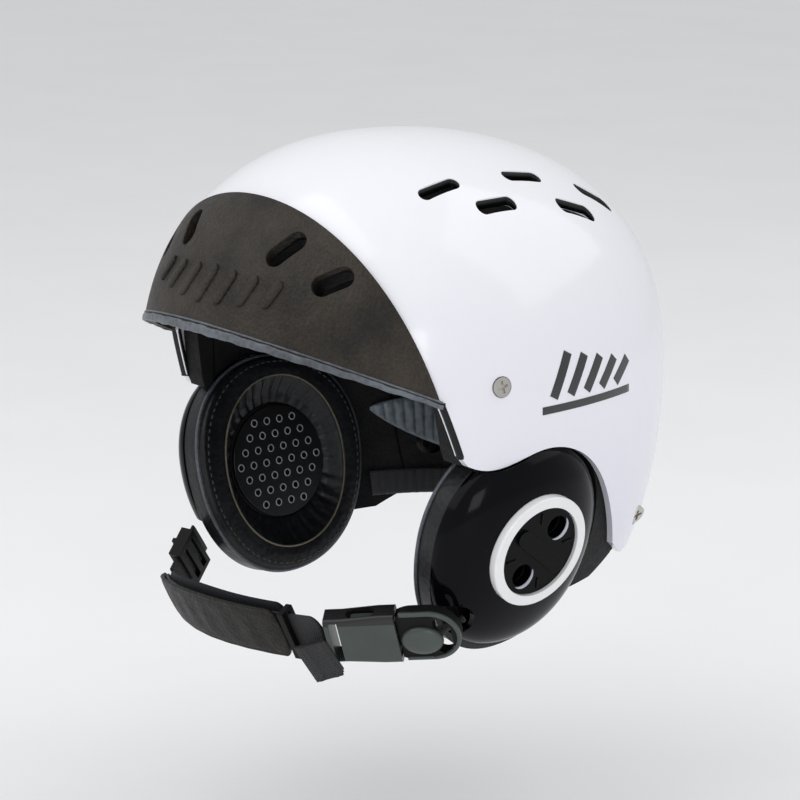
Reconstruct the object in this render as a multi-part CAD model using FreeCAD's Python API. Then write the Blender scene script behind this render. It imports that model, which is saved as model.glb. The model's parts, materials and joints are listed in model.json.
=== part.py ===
"""Water sports helmet: hard shell, soft peak, foam liner, two ear pods with turning
vent dials, and a chin strap with a side-release buckle.

Millimetres. +Z is up, -Y is the front, +X is the wearer's left. The origin is midway
between the wearer's ears, on the line that joins the two ear canals.
"""
import FreeCAD, Part
import math
import os

V = FreeCAD.Vector
FAR = 200.0                 # beyond every piece, for cutters

# ---- Outer shell: a dome of eight conic octants ------------------------------------
DOME_HALF_WIDTH = 100.0
DOME_FRONT = 100.0          # from the dome's centre forward
DOME_REAR = 125.0           # from the dome's centre backward
DOME_TOP = 100.0            # from the dome's centre up to the crown
DOME_BOTTOM = 146.0         # depth of the lower half, most of which is cut away
DOME_CENTRE_Z = 48.7        # widest level above the ear line
PLAN_FRONT_FULLNESS = 0.753
PLAN_REAR_FULLNESS = 0.80
TOP_FULLNESS = 0.87
BOTTOM_FULLNESS = 0.88
SHELL_WALL = 3.0
LAYER_GAP = 0.3             # between layers that are glued or lie on each other

# Shell rim in side view, as (y, z)
BORDER_TOP = (-68.0, 132.0)         # where the peak's upper border meets the mid-plane
TEMPLE = (-47.0, 56.0)              # rear tip of the peak
RIM_FRONT_LOW = (-40.2, 35.5)       # lower front corner of the shell
EAR_CURVE = [(-37.0, 31.2), (-28.0, 28.5), (-3.0, 33.6), (22.8, 26.2), (41.5, 3.0), (52.5, -19.6)]
NAPE_Z = -28.1
NAPE_CORNER_Y = 65.6

# ---- Vents ----------------------------------------------------------------------------
VENT_LENGTH = 20.0
VENT_WIDTH = 6.0
INNER_VENT_X = 54.0
INNER_VENT_Y = [-19.0, 25.0, 65.0]
OUTER_VENT_X = 67.0
OUTER_VENT_Y = [0.0, 43.0]
PEAK_VENT_WIDTH = 8.5
PEAK_VENTS = [
    ((27.0, -85.0, 109.0), (35.5, -73.0, 120.0)),
    ((49.0, -80.0, 101.0), (59.5, -68.0, 108.0)),
]

# ---- Peak -----------------------------------------------------------------------------
PEAK_PROUD = 4.3            # how far the peak's front stands ahead of the shell
PEAK_RISE = 1.5             # and above it at the border
PEAK_WALL = 6.3
PEAK_EDGE_Z = 78.5          # height of the peak's lower edge at the front
PEAK_EDGE_Y = -99.5

# ---- Liner ----------------------------------------------------------------------------
LINER_WALL = 9.0
LINER_SEAM = 1.0            # gap between neighbouring liner panels
CROWN_PANEL_Z = 112.0
LINER_FRONT_Y = -30.0
LINER_REAR_Y = 62.0
WING_FRONT_Y = 25.0         # low part of the side panel behind the ear
WING_REAR_Y = 46.0
WING_Z = -35.5
CROWN_PANEL_FRONT_Y = -60.0
COMFORT_WALL = 5.0
BROW_PAD_REAR_Y = -38.0
BROW_PAD_BOTTOM = 60.0
BROW_PAD_TOP = 96.0
NAPE_PAD_TOP = 14.0
NAPE_PAD_FRONT_Y = 48.0
NAPE_PAD_BOTTOM = -19.0
BAND_WIDTH = 11.0
BAND_WALL = 2.0

# ---- Ear pods (left one, the right one is its mirror) ----------------------------------
POD_FACE = V(DOME_HALF_WIDTH + 0.5, -5.0, -8.0)     # middle of the dial's face
POD_TILT = 13.0                     # degrees that the face looks down
POD_DEPTH = 18.0
POD_FRONT = 41.5
POD_REAR = 41.0
POD_UP = 42.0
POD_DOWN = 49.0
POD_FULLNESS = 0.8
POD_FACE_FULLNESS = 0.86
POD_WALL = 2.2
POD_PLATE_WALL = 2.0
POD_CLEAR = 0.6             # between the pod and the shell rim above it
PAD_FRONT = 41.0            # the pad's outline is fuller than the casing's
PAD_REAR = 48.0
PAD_UP = 42.0
PAD_DOWN = 53.0
PAD_WALL = 12.0
DISH_HALF_WIDTH = 31.0
DISH_HALF_HEIGHT = 37.0
DISH_DEPTH = 8.0
DISH_REARWARD = 5.0         # the dish's middle from the dial's axis
DISH_DOWN = 5.0
GRILLE_DIAMETER = 49.0
GRILLE_WALL = 1.6
GRILLE_HOLE = 3.0
GRILLE_PITCH = 7.0

# ---- Vent dial ---------------------------------------------------------------------------
RING_DIAMETER = 48.0
RING_BAND = 4.5
RING_HEIGHT = 5.4
DIAL_WALL = 4.0
DIAL_CLEAR = 0.4            # between the dial's edge and the ring
HUB_DIAMETER = 8.0
HUB_CLEAR = 0.05            # running clearance, radial
SEAL_WALL = 0.6
PORT_DIAMETER = 9.0
PORT_RADIUS = 12.0
PORT_ANGLE = 52.0           # direction of the upper port, up from the rear
SEAT_WALL = 1.8

# ---- Fasteners ------------------------------------------------------------------------------
SIDE_SCREW_Y = -23.2
SIDE_SCREW_Z = 61.8
REAR_SCREW_Y = 76.0
REAR_SCREW_Z = -13.5
SCREW_HEAD = 8.0
SCREW_HEAD_HEIGHT = 1.6
SCREW_HEAD_PROUD = 0.5
SCREW_SHANK = 4.0
NUT_FLANGE = 11.0
NUT_WALL = 1.2

# ---- Straps and buckle -------------------------------------------------------------------------
WEB_WIDTH = 19.0
WEB_WALL = 1.6
ANCHOR_WEB_WIDTH = 14.0
ANCHOR = POD_FACE + V(-16.5, -33.0, -29.0)      # where the strap leaves the pod, and swings
EXIT_DIAMETER = 19.0
LOOP_DEPTH = 42.0                   # how far the strap reaches ahead of the anchors
STRAP_MID_Z = -46.5
STRAP_RISE = 8.0                   # the strap is this much higher at the buckle's side
WEB_TILT = 25.0                     # degrees that the strap's outer face looks down
PAD_START = -60.0                   # chin pad, degrees round the strap's plan curve
PAD_END = 20.0
PAD_HEIGHT = 24.0
PAD_TIP_HEIGHT = 13.0               # at the pad's narrow end
PAD_UPPER_WALL = 4.0
PAD_LOWER_WALL = 2.0
TAIL_WIDTH = 12.0
TAIL_LENGTH = 19.0
TAIL_WALL = 2.4
TAIL_BEFORE = 9.0                   # ahead of the buckle's end of the webbing
LOCK_START = 4.0                    # the adjuster's place along the link webbing
LOCK_END = 18.0
LOCK_RIM = 2.5
LOCK_WALL = 1.8
KEEPER_WIDTH = 3.0
KEEPER_WALL = 2.0
BUCKLE_START = 35.0                 # degrees, where the webbing enters the buckle
FEMALE_LENGTH = 29.0
FEMALE_WIDTH = WEB_WIDTH + 6.0
FEMALE_BAR_WIDTH = WEB_WIDTH + 3.5
FEMALE_HEIGHT = 9.0
BUCKLE_WALL = 1.4
BUCKLE_CLEAR = 0.35
MALE_RING_LENGTH = 25.0
MALE_RING_WIDTH = FEMALE_WIDTH
MALE_HEIGHT = 5.0
MALE_RIM = 3.0
LOOP_BEHIND = 3.5           # the webbing passes this far behind the ring
PRONG_LENGTH = 18.0
PRONG_WIDTH = 2.4
TONGUE_WIDTH = 3.0
DOME_LENGTH = 17.0
DOME_WIDTH = 13.5


# ---- Small geometry helpers --------------------------------------------------------------------

def octant(centre, reach, plan_weight, side_weight, axes):
    """One eighth of a dome: a conic in plan swept along a conic in side view."""
    steps = [(1.0, 0.0), (1.0, 1.0), (0.0, 1.0)]
    patch = Part.BezierSurface()
    patch.increase(2, 2)
    for i, (across, along) in enumerate(steps):
        for j, (level, rise) in enumerate(steps):
            local = (reach[0] * level * across, reach[1] * level * along, reach[2] * rise)
            point = centre + axes[0] * local[0] + axes[1] * local[1] + axes[2] * local[2]
            weight = (plan_weight if i == 1 else 1.0) * (side_weight if j == 1 else 1.0)
            patch.setPole(i + 1, j + 1, point, weight)
    return patch.toShape()


def conic_dome(centre, half_x, half_y, half_z, plan_weights, side_weights, axes=None):
    """Closed solid of eight octants. Each half size is (minus side, plus side)."""
    axes = axes or (V(1, 0, 0), V(0, 1, 0), V(0, 0, 1))
    faces = []
    for sx in (0, 1):
        for sy in (0, 1):
            for sz in (0, 1):
                reach = [half[side] * (1 if side else -1)
                         for half, side in ((half_x, sx), (half_y, sy), (half_z, sz))]
                faces.append(octant(centre, reach, plan_weights[sy], side_weights[sz], axes))
    skin = Part.Shell(faces)
    skin.sewShape()
    solid = Part.Solid(skin)
    if solid.Volume < 0:
        solid.reverse()
    return solid


def helmet_dome(inset, proud=0.0):
    """The helmet's dome, shrunk by inset on every side and grown by proud at the front."""
    return conic_dome(
        V(0, 0, DOME_CENTRE_Z),
        (DOME_HALF_WIDTH - inset, DOME_HALF_WIDTH - inset),
        (DOME_FRONT - inset + proud, DOME_REAR - inset),
        (DOME_BOTTOM - inset, DOME_TOP - inset + (PEAK_RISE if proud else 0.0)),
        (PLAN_FRONT_FULLNESS, PLAN_REAR_FULLNESS),
        (BOTTOM_FULLNESS, TOP_FULLNESS))


def dome_layer(outer, inner):
    return helmet_dome(outer).cut(helmet_dome(inner))


def conic_across(along, fullness):
    """The other coordinate of a point on a conic arc from (1, 0) by (1, 1) to (0, 1)."""
    spread = 2 * along + 4 * fullness ** 2 * (1 - along)
    return 1 - (spread - math.sqrt(spread ** 2 - 4 * along ** 2)) / 2


def on_dome(y, z):
    """The point of the dome's left side at a given y and z."""
    above = z > DOME_CENTRE_Z
    depth, side = (DOME_TOP, TOP_FULLNESS) if above else (DOME_BOTTOM, BOTTOM_FULLNESS)
    length, plan = (DOME_REAR, PLAN_REAR_FULLNESS) if y > 0 else (DOME_FRONT, PLAN_FRONT_FULLNESS)
    level = conic_across(abs(z - DOME_CENTRE_Z) / depth, side)
    return V(DOME_HALF_WIDTH * level * conic_across(abs(y) / (length * level), plan), y, z)


def side_screw():
    return on_dome(SIDE_SCREW_Y, SIDE_SCREW_Z)


def rear_screw():
    return on_dome(REAR_SCREW_Y, REAR_SCREW_Z)


def side_prism(points, low_x=-180.0, high_x=180.0):
    """Straight-sided outline in side view, extruded across the helmet."""
    corners = [V(low_x, y, z) for y, z in points]
    face = Part.Face(Part.makePolygon(corners + corners[:1]))
    return face.extrude(V(high_x - low_x, 0, 0))


def rim_prism(drop=0.0):
    """Everything above and behind the shell's rim, lowered by drop."""
    ear = Part.BSplineCurve()
    ear.interpolate([V(-FAR, y, z - drop) for y, z in EAR_CURVE])
    start = V(-FAR, TEMPLE[0], TEMPLE[1])
    low = V(-FAR, RIM_FRONT_LOW[0], RIM_FRONT_LOW[1])
    nape = V(-FAR, NAPE_CORNER_Y, NAPE_Z - drop)
    slope = (BORDER_TOP[0] - TEMPLE[0]) / (BORDER_TOP[1] - TEMPLE[1])
    top = V(-FAR, TEMPLE[0] + slope * (FAR - TEMPLE[1]), FAR)
    corners = [nape, V(-FAR, FAR, NAPE_Z - drop), V(-FAR, FAR, FAR), top, start, low,
               ear.StartPoint]
    edges = [Part.makeLine(a, b) for a, b in zip(corners, corners[1:])]
    edges.append(ear.toShape())
    edges.append(Part.makeLine(ear.EndPoint, nape))
    face = Part.Face(Part.Wire(Part.__sortEdges__(edges)))
    return face.extrude(V(2 * FAR, 0, 0))


def place(shape, origin, long_axis, out_axis):
    """Move a shape drawn at the origin so that its X runs along long_axis and its Z out."""
    turn = FreeCAD.Rotation(long_axis, V(0, 0, 0), out_axis, "XZY")
    placed = shape.copy()
    placed.Placement = FreeCAD.Placement(origin, turn)
    return placed


def pill(length, width, low, high):
    """Upright slot shape, length along X including its round ends."""
    reach = (length - width) / 2
    body = Part.makeBox(2 * reach, width, high - low, V(-reach, -width / 2, low))
    ends = [Part.makeCylinder(width / 2, high - low, V(x, 0, low)) for x in (-reach, reach)]
    return body.fuse(ends).removeSplitter()


def disc(diameter, low, high, x=0.0, y=0.0):
    return Part.makeCylinder(diameter / 2, high - low, V(x, y, low))


def block(low_corner, high_corner):
    size = V(*high_corner) - V(*low_corner)
    return Part.makeBox(size.x, size.y, size.z, V(*low_corner))


def ribbon(centres, outs, widths, wall):
    """Flat band through the centres, its faces square to the outward directions."""
    sections = []
    last = len(centres) - 1
    for i, (centre, out) in enumerate(zip(centres, outs)):
        along = centres[min(i + 1, last)] - centres[max(i - 1, 0)]
        along.normalize()
        across = along.cross(out)
        across.normalize()
        normal = across.cross(along)
        normal.normalize()
        corners = [centre + across * (a * widths[i] / 2) + normal * (n * wall / 2)
                   for a, n in ((-1, -1), (1, -1), (1, 1), (-1, 1))]
        sections.append(Part.makePolygon(corners + corners[:1]))
    return Part.makeLoft(sections, True, False)


def mirrored(shape):
    return shape.mirror(V(0, 0, 0), V(1, 0, 0))


# ---- Shell, peak and liner ----------------------------------------------------------------------

def vent_slots():
    """Cutters for the crown vents, upright and parallel to the mid-plane."""
    upright = pill(VENT_LENGTH, VENT_WIDTH, 80.0, 170.0)
    upright.rotate(V(0, 0, 0), V(0, 0, 1), 90)
    rows = [(INNER_VENT_X, y) for y in INNER_VENT_Y] + [(OUTER_VENT_X, y) for y in OUTER_VENT_Y]
    slots = []
    for x, y in rows:
        for side in (-1, 1):
            slot = upright.copy()
            slot.translate(V(side * x, y, 0))
            slots.append(slot)
    return slots


def peak_slots():
    """Cutters for the peak vents, square to the peak's surface."""
    slots = []
    for low, high in PEAK_VENTS:
        low, high = V(*low), V(*high)
        middle = (low + high) * 0.5
        outward = middle - V(0, 0, DOME_CENTRE_Z)
        slot = pill((high - low).Length, PEAK_VENT_WIDTH, -30.0, 30.0)
        slot = place(slot, middle, high - low, outward)
        slots += [slot, mirrored(slot)]
    return slots


def screw_direction(point):
    """Outward direction of a screw, square to the dome at that point."""
    step = 1.0
    rearward = on_dome(point.y + step, point.z) - on_dome(point.y - step, point.z)
    upward = on_dome(point.y, point.z + step) - on_dome(point.y, point.z - step)
    return rearward.cross(upward).normalize()


def screw_seat(point):
    """Where the underside of the screw's head sits, in its countersink."""
    return point - screw_direction(point) * (SCREW_HEAD_HEIGHT - SCREW_HEAD_PROUD)


def screw_bore(point):
    """Cutter for a screw's shank and its head's countersink."""
    bore = disc(SCREW_SHANK + 2 * LAYER_GAP, -30.0, 10.0)
    bore = bore.fuse(disc(SCREW_HEAD + 2 * LAYER_GAP, -LAYER_GAP, 10.0))
    return place(bore, screw_seat(point), V(0, 1, 0.2), screw_direction(point))


def screw_holes():
    holes = []
    for point in (side_screw(), rear_screw()):
        bore = screw_bore(point)
        holes += [bore, mirrored(bore)]
    return holes


def outer_shell():
    body = dome_layer(0.0, SHELL_WALL).common(rim_prism())
    return body.cut(vent_slots()).cut(screw_holes())


def peak_outline(grow):
    """Wedge between the shell's border and the peak's lower edge, in side view."""
    reach = 60.0
    up = (BORDER_TOP[0] - TEMPLE[0], BORDER_TOP[1] - TEMPLE[1])
    out = (PEAK_EDGE_Y - TEMPLE[0], PEAK_EDGE_Z - TEMPLE[1])
    tip = (TEMPLE[0] - grow, TEMPLE[1])
    high = (tip[0] + 2 * up[0], tip[1] + 2 * up[1])
    low = (tip[0] + 2 * out[0], tip[1] + 2 * out[1])
    return [tip, high, (low[0] - reach, high[1]), low]


def peak():
    skin = helmet_dome(0.0, PEAK_PROUD).cut(helmet_dome(PEAK_WALL - PEAK_PROUD, 0.0))
    body = skin.common(side_prism(peak_outline(LAYER_GAP)))
    return body.cut(peak_slots())


def liner_outline():
    """Side view of the liner: just inside the shell's rim and the peak's lower edge."""
    step = 3.0
    out = (PEAK_EDGE_Y - TEMPLE[0], PEAK_EDGE_Z - TEMPLE[1])
    return [(TEMPLE[0] + 2 * out[0], TEMPLE[1] + 2 * out[1] + step), (TEMPLE[0] + 4.0, TEMPLE[1] + step),
            (RIM_FRONT_LOW[0] + 1.0, RIM_FRONT_LOW[1]), (RIM_FRONT_LOW[0] + 2.5, 31.0),
            (WING_FRONT_Y, 31.0), (WING_FRONT_Y, WING_Z), (WING_REAR_Y, WING_Z + 1.0),
            (NAPE_CORNER_Y + 2.0, NAPE_Z + 3.0), (FAR, NAPE_Z + 3.0), (FAR, FAR), (-FAR, FAR)]


def liner_blank(outer, wall):
    layer = dome_layer(outer, outer + wall)
    body = layer.common(side_prism(liner_outline()))
    for room in (pod_slab(-1.0, POD_DEPTH + 5.0, -1.0), pad_slab(-PAD_WALL - 12.0, 0.3, -1.1)):
        room = in_pod(room)
        body = body.cut(room).cut(mirrored(room))
    return body


def liner_panels():
    """The foam lining, cut into a crown, a brow, two side panels and a rear panel."""
    inset = SHELL_WALL + LAYER_GAP
    blank = liner_blank(inset, LINER_WALL)
    channel = anchor_web(LAYER_GAP)
    cuts = screw_nut_pockets() + [channel, mirrored(channel)]
    blank = blank.cut(cuts)
    half = LINER_SEAM / 2
    top = CROWN_PANEL_Z
    crown = blank.common(block((-FAR, CROWN_PANEL_FRONT_Y, top + half), (FAR, FAR, FAR)))
    crown = crown.cut(vent_slots())
    below = (-FAR, -FAR, -FAR), (FAR, FAR, top - half)
    front_top = block((-FAR, -FAR, top - half), (FAR, CROWN_PANEL_FRONT_Y - LINER_SEAM, FAR))
    lower = blank.common(block(*below).fuse(front_top))
    lower = lower.cut(peak_slots()).cut(vent_slots())
    front = lower.common(block((-FAR, -FAR, -FAR), (FAR, LINER_FRONT_Y - half, FAR)))
    middle = lower.common(block((-FAR, LINER_FRONT_Y + half, -FAR), (FAR, LINER_REAR_Y - half, FAR)))
    rear = lower.common(block((-FAR, LINER_REAR_Y + half, -FAR), (FAR, FAR, FAR)))
    left = middle.common(block((0, -FAR, -FAR), (FAR, FAR, FAR)))
    return {"liner_crown": crown, "liner_front": front, "liner_rear": rear,
            "liner_left": left, "liner_right": mirrored(left)}


def brow_pad():
    """Soft strip between the foam and the forehead."""
    inset = SHELL_WALL + 2 * LAYER_GAP + LINER_WALL
    layer = dome_layer(inset, inset + COMFORT_WALL)
    body = layer.common(side_prism(liner_outline()))
    return body.common(block((-FAR, -FAR, BROW_PAD_BOTTOM), (FAR, BROW_PAD_REAR_Y, BROW_PAD_TOP)))


def nape_pad():
    """Soft pad that bears on the back of the head."""
    inset = SHELL_WALL + 2 * LAYER_GAP + LINER_WALL
    layer = dome_layer(inset, inset + COMFORT_WALL)
    return layer.common(block((-FAR, NAPE_PAD_FRONT_Y, NAPE_PAD_BOTTOM), (FAR, FAR, NAPE_PAD_TOP)))


def nape_elastic():
    """Gathered elastic band below the nape pad, from pod to pod."""
    inset = SHELL_WALL + 3 * LAYER_GAP + LINER_WALL
    layer = dome_layer(inset, inset + BAND_WALL)
    top = NAPE_PAD_BOTTOM - LAYER_GAP
    return layer.common(block((-FAR, NAPE_PAD_FRONT_Y - 3, top - BAND_WIDTH), (FAR, FAR, top)))


# ---- Fasteners ------------------------------------------------------------------------------------

def screw(point):
    head = disc(SCREW_HEAD, 0.0, SCREW_HEAD_HEIGHT)
    for slot in ((0.6, 2.6), (2.6, 0.6)):
        head = head.cut(block((-slot[0], -slot[1], 0.6), (slot[0], slot[1], 3)))
    shank = disc(SCREW_SHANK, -SHELL_WALL - 7.0, 0.0)
    body = head.fuse(shank)
    return place(body, screw_seat(point), V(0, 1, 0.2), screw_direction(point))


def tee_nut(point):
    """Flanged nut on the inner end of a screw."""
    bore = SCREW_SHANK + 2 * LAYER_GAP
    flange = disc(NUT_FLANGE, -SHELL_WALL - 7.0, -SHELL_WALL - 7.0 + NUT_WALL)
    barrel = disc(bore + 2, -SHELL_WALL - 7.0, -SHELL_WALL - 3.4)
    body = flange.fuse(barrel).cut(disc(bore, -20, 0))
    return place(body, screw_seat(point), V(0, 1, 0.2), screw_direction(point))


def nut_room(point):
    """Cutter for a tee nut with a clearance round its barrel and its flange."""
    room = disc(SCREW_SHANK + 4 * LAYER_GAP + 2.0, -40.0, 0.0)
    flange_top = -SHELL_WALL - 7.0 + NUT_WALL + LAYER_GAP
    room = room.fuse(disc(NUT_FLANGE + 2 * LAYER_GAP, -40.0, flange_top))
    return place(room, screw_seat(point), V(0, 1, 0.2), screw_direction(point))


def screw_nut_pockets():
    pockets = []
    for point in (side_screw(), rear_screw()):
        pocket = disc(NUT_FLANGE + 1, -40.0, 0.0)
        pocket = place(pocket, point, V(0, 1, 0.2), screw_direction(point))
        pockets += [pocket, mirrored(pocket)]
    return pockets


def pair(shape):
    return Part.makeCompound([shape, mirrored(shape)])


# ---- Ear pods -----------------------------------------------------------------------------------------

def pod_axes():
    """Rearward, upward and outward directions of the left pod."""
    tilt = math.radians(POD_TILT)
    out = V(math.cos(tilt), 0, -math.sin(tilt))
    up = V(math.sin(tilt), 0, math.cos(tilt))
    return V(0, 1, 0), up, out


def in_pod(shape):
    """Place a shape drawn with X rearward, Y up and Z outward, base at zero, in the pod."""
    rear, up, out = pod_axes()
    turn = FreeCAD.Rotation(rear, up, out, "ZXY")
    placed = shape.copy()
    placed.Placement = FreeCAD.Placement(POD_FACE - out * POD_DEPTH, turn)
    return placed


def pod_dome(inset):
    """The pod's outer body as a dome on its base plane."""
    return conic_dome(
        V(0, 0, 0), (POD_FRONT - inset, POD_REAR - inset), (POD_DOWN - inset, POD_UP - inset),
        (POD_DEPTH - inset, POD_DEPTH - inset), (POD_FULLNESS, POD_FULLNESS),
        (POD_FACE_FULLNESS, POD_FACE_FULLNESS))


def oval_slab(low, high, inset, front, rear, up, down):
    """Flat slab with a rounded outline of four conic arcs, in the pod's own frame."""
    edges = []
    level = low
    for reach_x, reach_y in ((rear, up), (-front, up), (-front, -down), (rear, -down)):
        x = reach_x - inset * math.copysign(1.0, reach_x)
        y = reach_y - inset * math.copysign(1.0, reach_y)
        arc = Part.BezierCurve()
        arc.increase(2)
        for k, pole in enumerate((V(x, 0, level), V(x, y, level), V(0, y, level))):
            arc.setPole(k + 1, pole)
        arc.setWeight(2, POD_FULLNESS)
        edges.append(arc.toShape())
    outline = Part.Wire(Part.__sortEdges__(edges))
    return Part.Face(outline).extrude(V(0, 0, high - low))


def pod_slab(low, high, inset):
    return oval_slab(low, high, inset, POD_FRONT, POD_REAR, POD_UP, POD_DOWN)


def pad_slab(low, high, inset):
    return oval_slab(low, high, inset, PAD_FRONT, PAD_REAR, PAD_UP, PAD_DOWN)


def port_places():
    angle = math.radians(PORT_ANGLE)
    x, y = PORT_RADIUS * math.cos(angle), PORT_RADIUS * math.sin(angle)
    return [(x, y), (-x, -y)]


def drill_ports(body, diameter):
    return body.cut([disc(diameter, -50, 50, x, y) for x, y in port_places()])


def seat_level():
    return POD_DEPTH - RING_HEIGHT


def pod_casing():
    """Glossy cap with a round cup that seats the ring and the dial."""
    above = block((-100, -100, 0), (100, 100, 100))
    cap = pod_dome(0.0).cut(pod_dome(POD_WALL)).common(above)
    cup = disc(RING_DIAMETER + 2 * POD_WALL, seat_level() - SEAT_WALL, POD_DEPTH)
    cup = cup.common(pod_dome(0.0))
    body = cap.fuse(cup)
    body = body.cut(disc(RING_DIAMETER + 2 * LAYER_GAP, seat_level(), POD_DEPTH + 5))
    body = body.cut(disc(HUB_DIAMETER + 2 * HUB_CLEAR, 0, POD_DEPTH))
    body = drill_ports(body, PORT_DIAMETER)
    body = in_pod(body)
    return body.cut([rim_prism(POD_CLEAR), strap_exit(), anchor_web(LAYER_GAP)])


def pod_backplate():
    """Flat plate that closes the casing behind and carries the ear pad."""
    plate = pod_slab(0.2, POD_PLATE_WALL, POD_WALL + LAYER_GAP)
    plate = plate.cut(disc(RING_DIAMETER - 8, -1, 5))
    plate = in_pod(plate)
    return plate.cut([strap_exit(), helmet_skin_cutter(), anchor_web(LAYER_GAP)])


def helmet_skin_cutter():
    """The shell's wall with a clearance, to trim what passes beneath it."""
    return dome_layer(-20.0, SHELL_WALL + LAYER_GAP).common(rim_prism(POD_CLEAR))


def dial_ring():
    outer = disc(RING_DIAMETER, seat_level() + 0.05, POD_DEPTH + 0.6)
    edges = [e for e in outer.Edges if e.BoundBox.ZMin > POD_DEPTH]
    outer = outer.makeFillet(1.0, edges)
    return in_pod(outer.cut(disc(RING_DIAMETER - 2 * RING_BAND, 0, 100)))


def vent_dial():
    """Turning shutter: a disc with two ports, a raised grip and a hub in the seat."""
    diameter = RING_DIAMETER - 2 * RING_BAND - 2 * DIAL_CLEAR
    low = seat_level() + SEAL_WALL + 0.2
    body = disc(diameter, low, low + DIAL_WALL)
    grip = pill(diameter - 6, 7.0, low + DIAL_WALL - 0.5, low + DIAL_WALL + 1.2)
    grip.rotate(V(0, 0, 0), V(0, 0, 1), PORT_ANGLE - 90)
    body = body.fuse(grip)
    body = drill_ports(body, PORT_DIAMETER + 0.6)
    body = body.fuse(disc(HUB_DIAMETER, seat_level() - SEAT_WALL - 1.5, low))
    return in_pod(body)


def dial_seal():
    """Rubber washer between the dial and its seat."""
    diameter = RING_DIAMETER - 2 * RING_BAND - 2 * DIAL_CLEAR
    washer = disc(diameter, seat_level() + 0.1, seat_level() + 0.1 + SEAL_WALL)
    washer = washer.cut(disc(HUB_DIAMETER + 1.0, 0, 50))
    return in_pod(drill_ports(washer, PORT_DIAMETER + 1.0))


def dish_cutter():
    """Oval hollow of the ear pad, open towards the ear."""
    oval = conic_dome(
        V(DISH_REARWARD, -DISH_DOWN, -PAD_WALL), (DISH_HALF_WIDTH, DISH_HALF_WIDTH), (DISH_HALF_HEIGHT, DISH_HALF_HEIGHT),
        (DISH_DEPTH, DISH_DEPTH), (0.75, 0.75), (0.9, 0.9))
    return oval


def ear_pad():
    """Foam cushion round the ear, with the grille in the floor of its dish."""
    pad = pad_slab(-PAD_WALL, -0.1, 0.0)
    edges = [e for e in pad.Edges if e.BoundBox.ZMax < -PAD_WALL + 0.1]
    pad = pad.makeFillet(4.0, edges)
    pad = pad.cut(dish_cutter())
    pad = pad.cut(disc(GRILLE_DIAMETER + 2 * LAYER_GAP, -50, 5, DISH_REARWARD, -DISH_DOWN))
    return in_pod(pad).cut(anchor_web(LAYER_GAP))


def ear_grille():
    """Round plate with a grid of holes, on the plate behind the pad."""
    low = -PAD_WALL + DISH_DEPTH - 2.0
    middle = (DISH_REARWARD, -DISH_DOWN)
    plate = disc(GRILLE_DIAMETER, low, low + GRILLE_WALL, *middle)
    row_pitch = GRILLE_PITCH * math.sqrt(3) / 2
    reach = GRILLE_DIAMETER / 2 - GRILLE_HOLE
    holes = []
    rows = int(reach / row_pitch)
    for row in range(-rows, rows + 1):
        shift = GRILLE_PITCH / 2 if row % 2 else 0.0
        for column in range(-rows - 1, rows + 2):
            x, y = column * GRILLE_PITCH + shift, row * row_pitch
            if math.hypot(x, y) < reach:
                holes.append(disc(GRILLE_HOLE, low - 1, low + GRILLE_WALL + 1, x + middle[0], y + middle[1]))
    return in_pod(plate.cut(holes))


# ---- Straps ---------------------------------------------------------------------------------------------

def anchor_web(grow=0.0):
    """Webbing from the side screw down inside the pod to its lower front corner."""
    inside = -(SHELL_WALL + 2 * LAYER_GAP + WEB_WALL / 2 + 1.8)
    top = side_screw() + V(inside, 0, 6.0)
    stations = [top, top + V(0.6, -0.5, -16.0), POD_FACE + V(-8.5, -19.5, 42.0),
                POD_FACE + V(-9.7, -20.5, 20.0), POD_FACE + V(-12.0, -21.0, 0.0),
                POD_FACE + V(-14.5, -21.5, -14.0)]
    count = len(stations)
    outs = [V(1, -0.2, 0)] * count
    web = ribbon(stations, outs, [ANCHOR_WEB_WIDTH + 2 * grow] * count, WEB_WALL + 2 * grow)
    if grow:
        return web
    return web.cut([screw_bore(side_screw()), nut_room(side_screw()), helmet_skin_cutter()])


def strap_exit():
    """Notch in the pod where the strap leaves it and swings."""
    notch = disc(EXIT_DIAMETER, -WEB_WIDTH / 2 - 1.5, WEB_WIDTH / 2 + 1.5)
    return place(notch, ANCHOR, V(0, 1, 0), V(1, 0, 0))


def strap_point(degrees):
    """A point on the strap's route, round an oval in plan that rises to the buckle."""
    angle = math.radians(degrees)
    return V((ANCHOR.x + 2) * math.sin(angle), ANCHOR.y - LOOP_DEPTH * math.cos(angle),
             STRAP_MID_Z + STRAP_RISE * math.sin(angle))


def strap_out(degrees):
    """Outward direction of the strap's face there."""
    angle = math.radians(degrees)
    tilt = math.radians(WEB_TILT)
    flat = V(math.sin(angle) / (ANCHOR.x + 2), -math.cos(angle) / LOOP_DEPTH, 0).normalize()
    return flat * math.cos(tilt) + V(0, 0, -math.sin(tilt))


def strap_ribbon(start, end, offset, width, wall, tip_width=None, count=9):
    """Band along the strap's route between two angles, offset outward from its middle."""
    angles = [start + (end - start) * k / (count - 1) for k in range(count)]
    centres = [strap_point(a) + strap_out(a) * offset for a in angles]
    widths = [width] * count
    if tip_width:
        rounding = [math.sin(min(1.0, k / (count - 4)) * math.pi / 2) for k in range(count)]
        widths = [tip_width + (width - tip_width) * share for share in rounding]
    return ribbon(centres, [strap_out(a) for a in angles], widths, wall)


def link_line():
    """Straight stretch of webbing on the right, from the anchor to the chin pad."""
    top = V(-ANCHOR.x, ANCHOR.y, ANCHOR.z)
    bottom = strap_point(PAD_START - 5.0)
    return top, bottom


def link_frame():
    top, bottom = link_line()
    along = (bottom - top).normalize()
    out = V(-0.9, -0.45, 0)
    out = (out - along * out.dot(along)).normalize()
    return top, along, out, (bottom - top).Length


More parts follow.
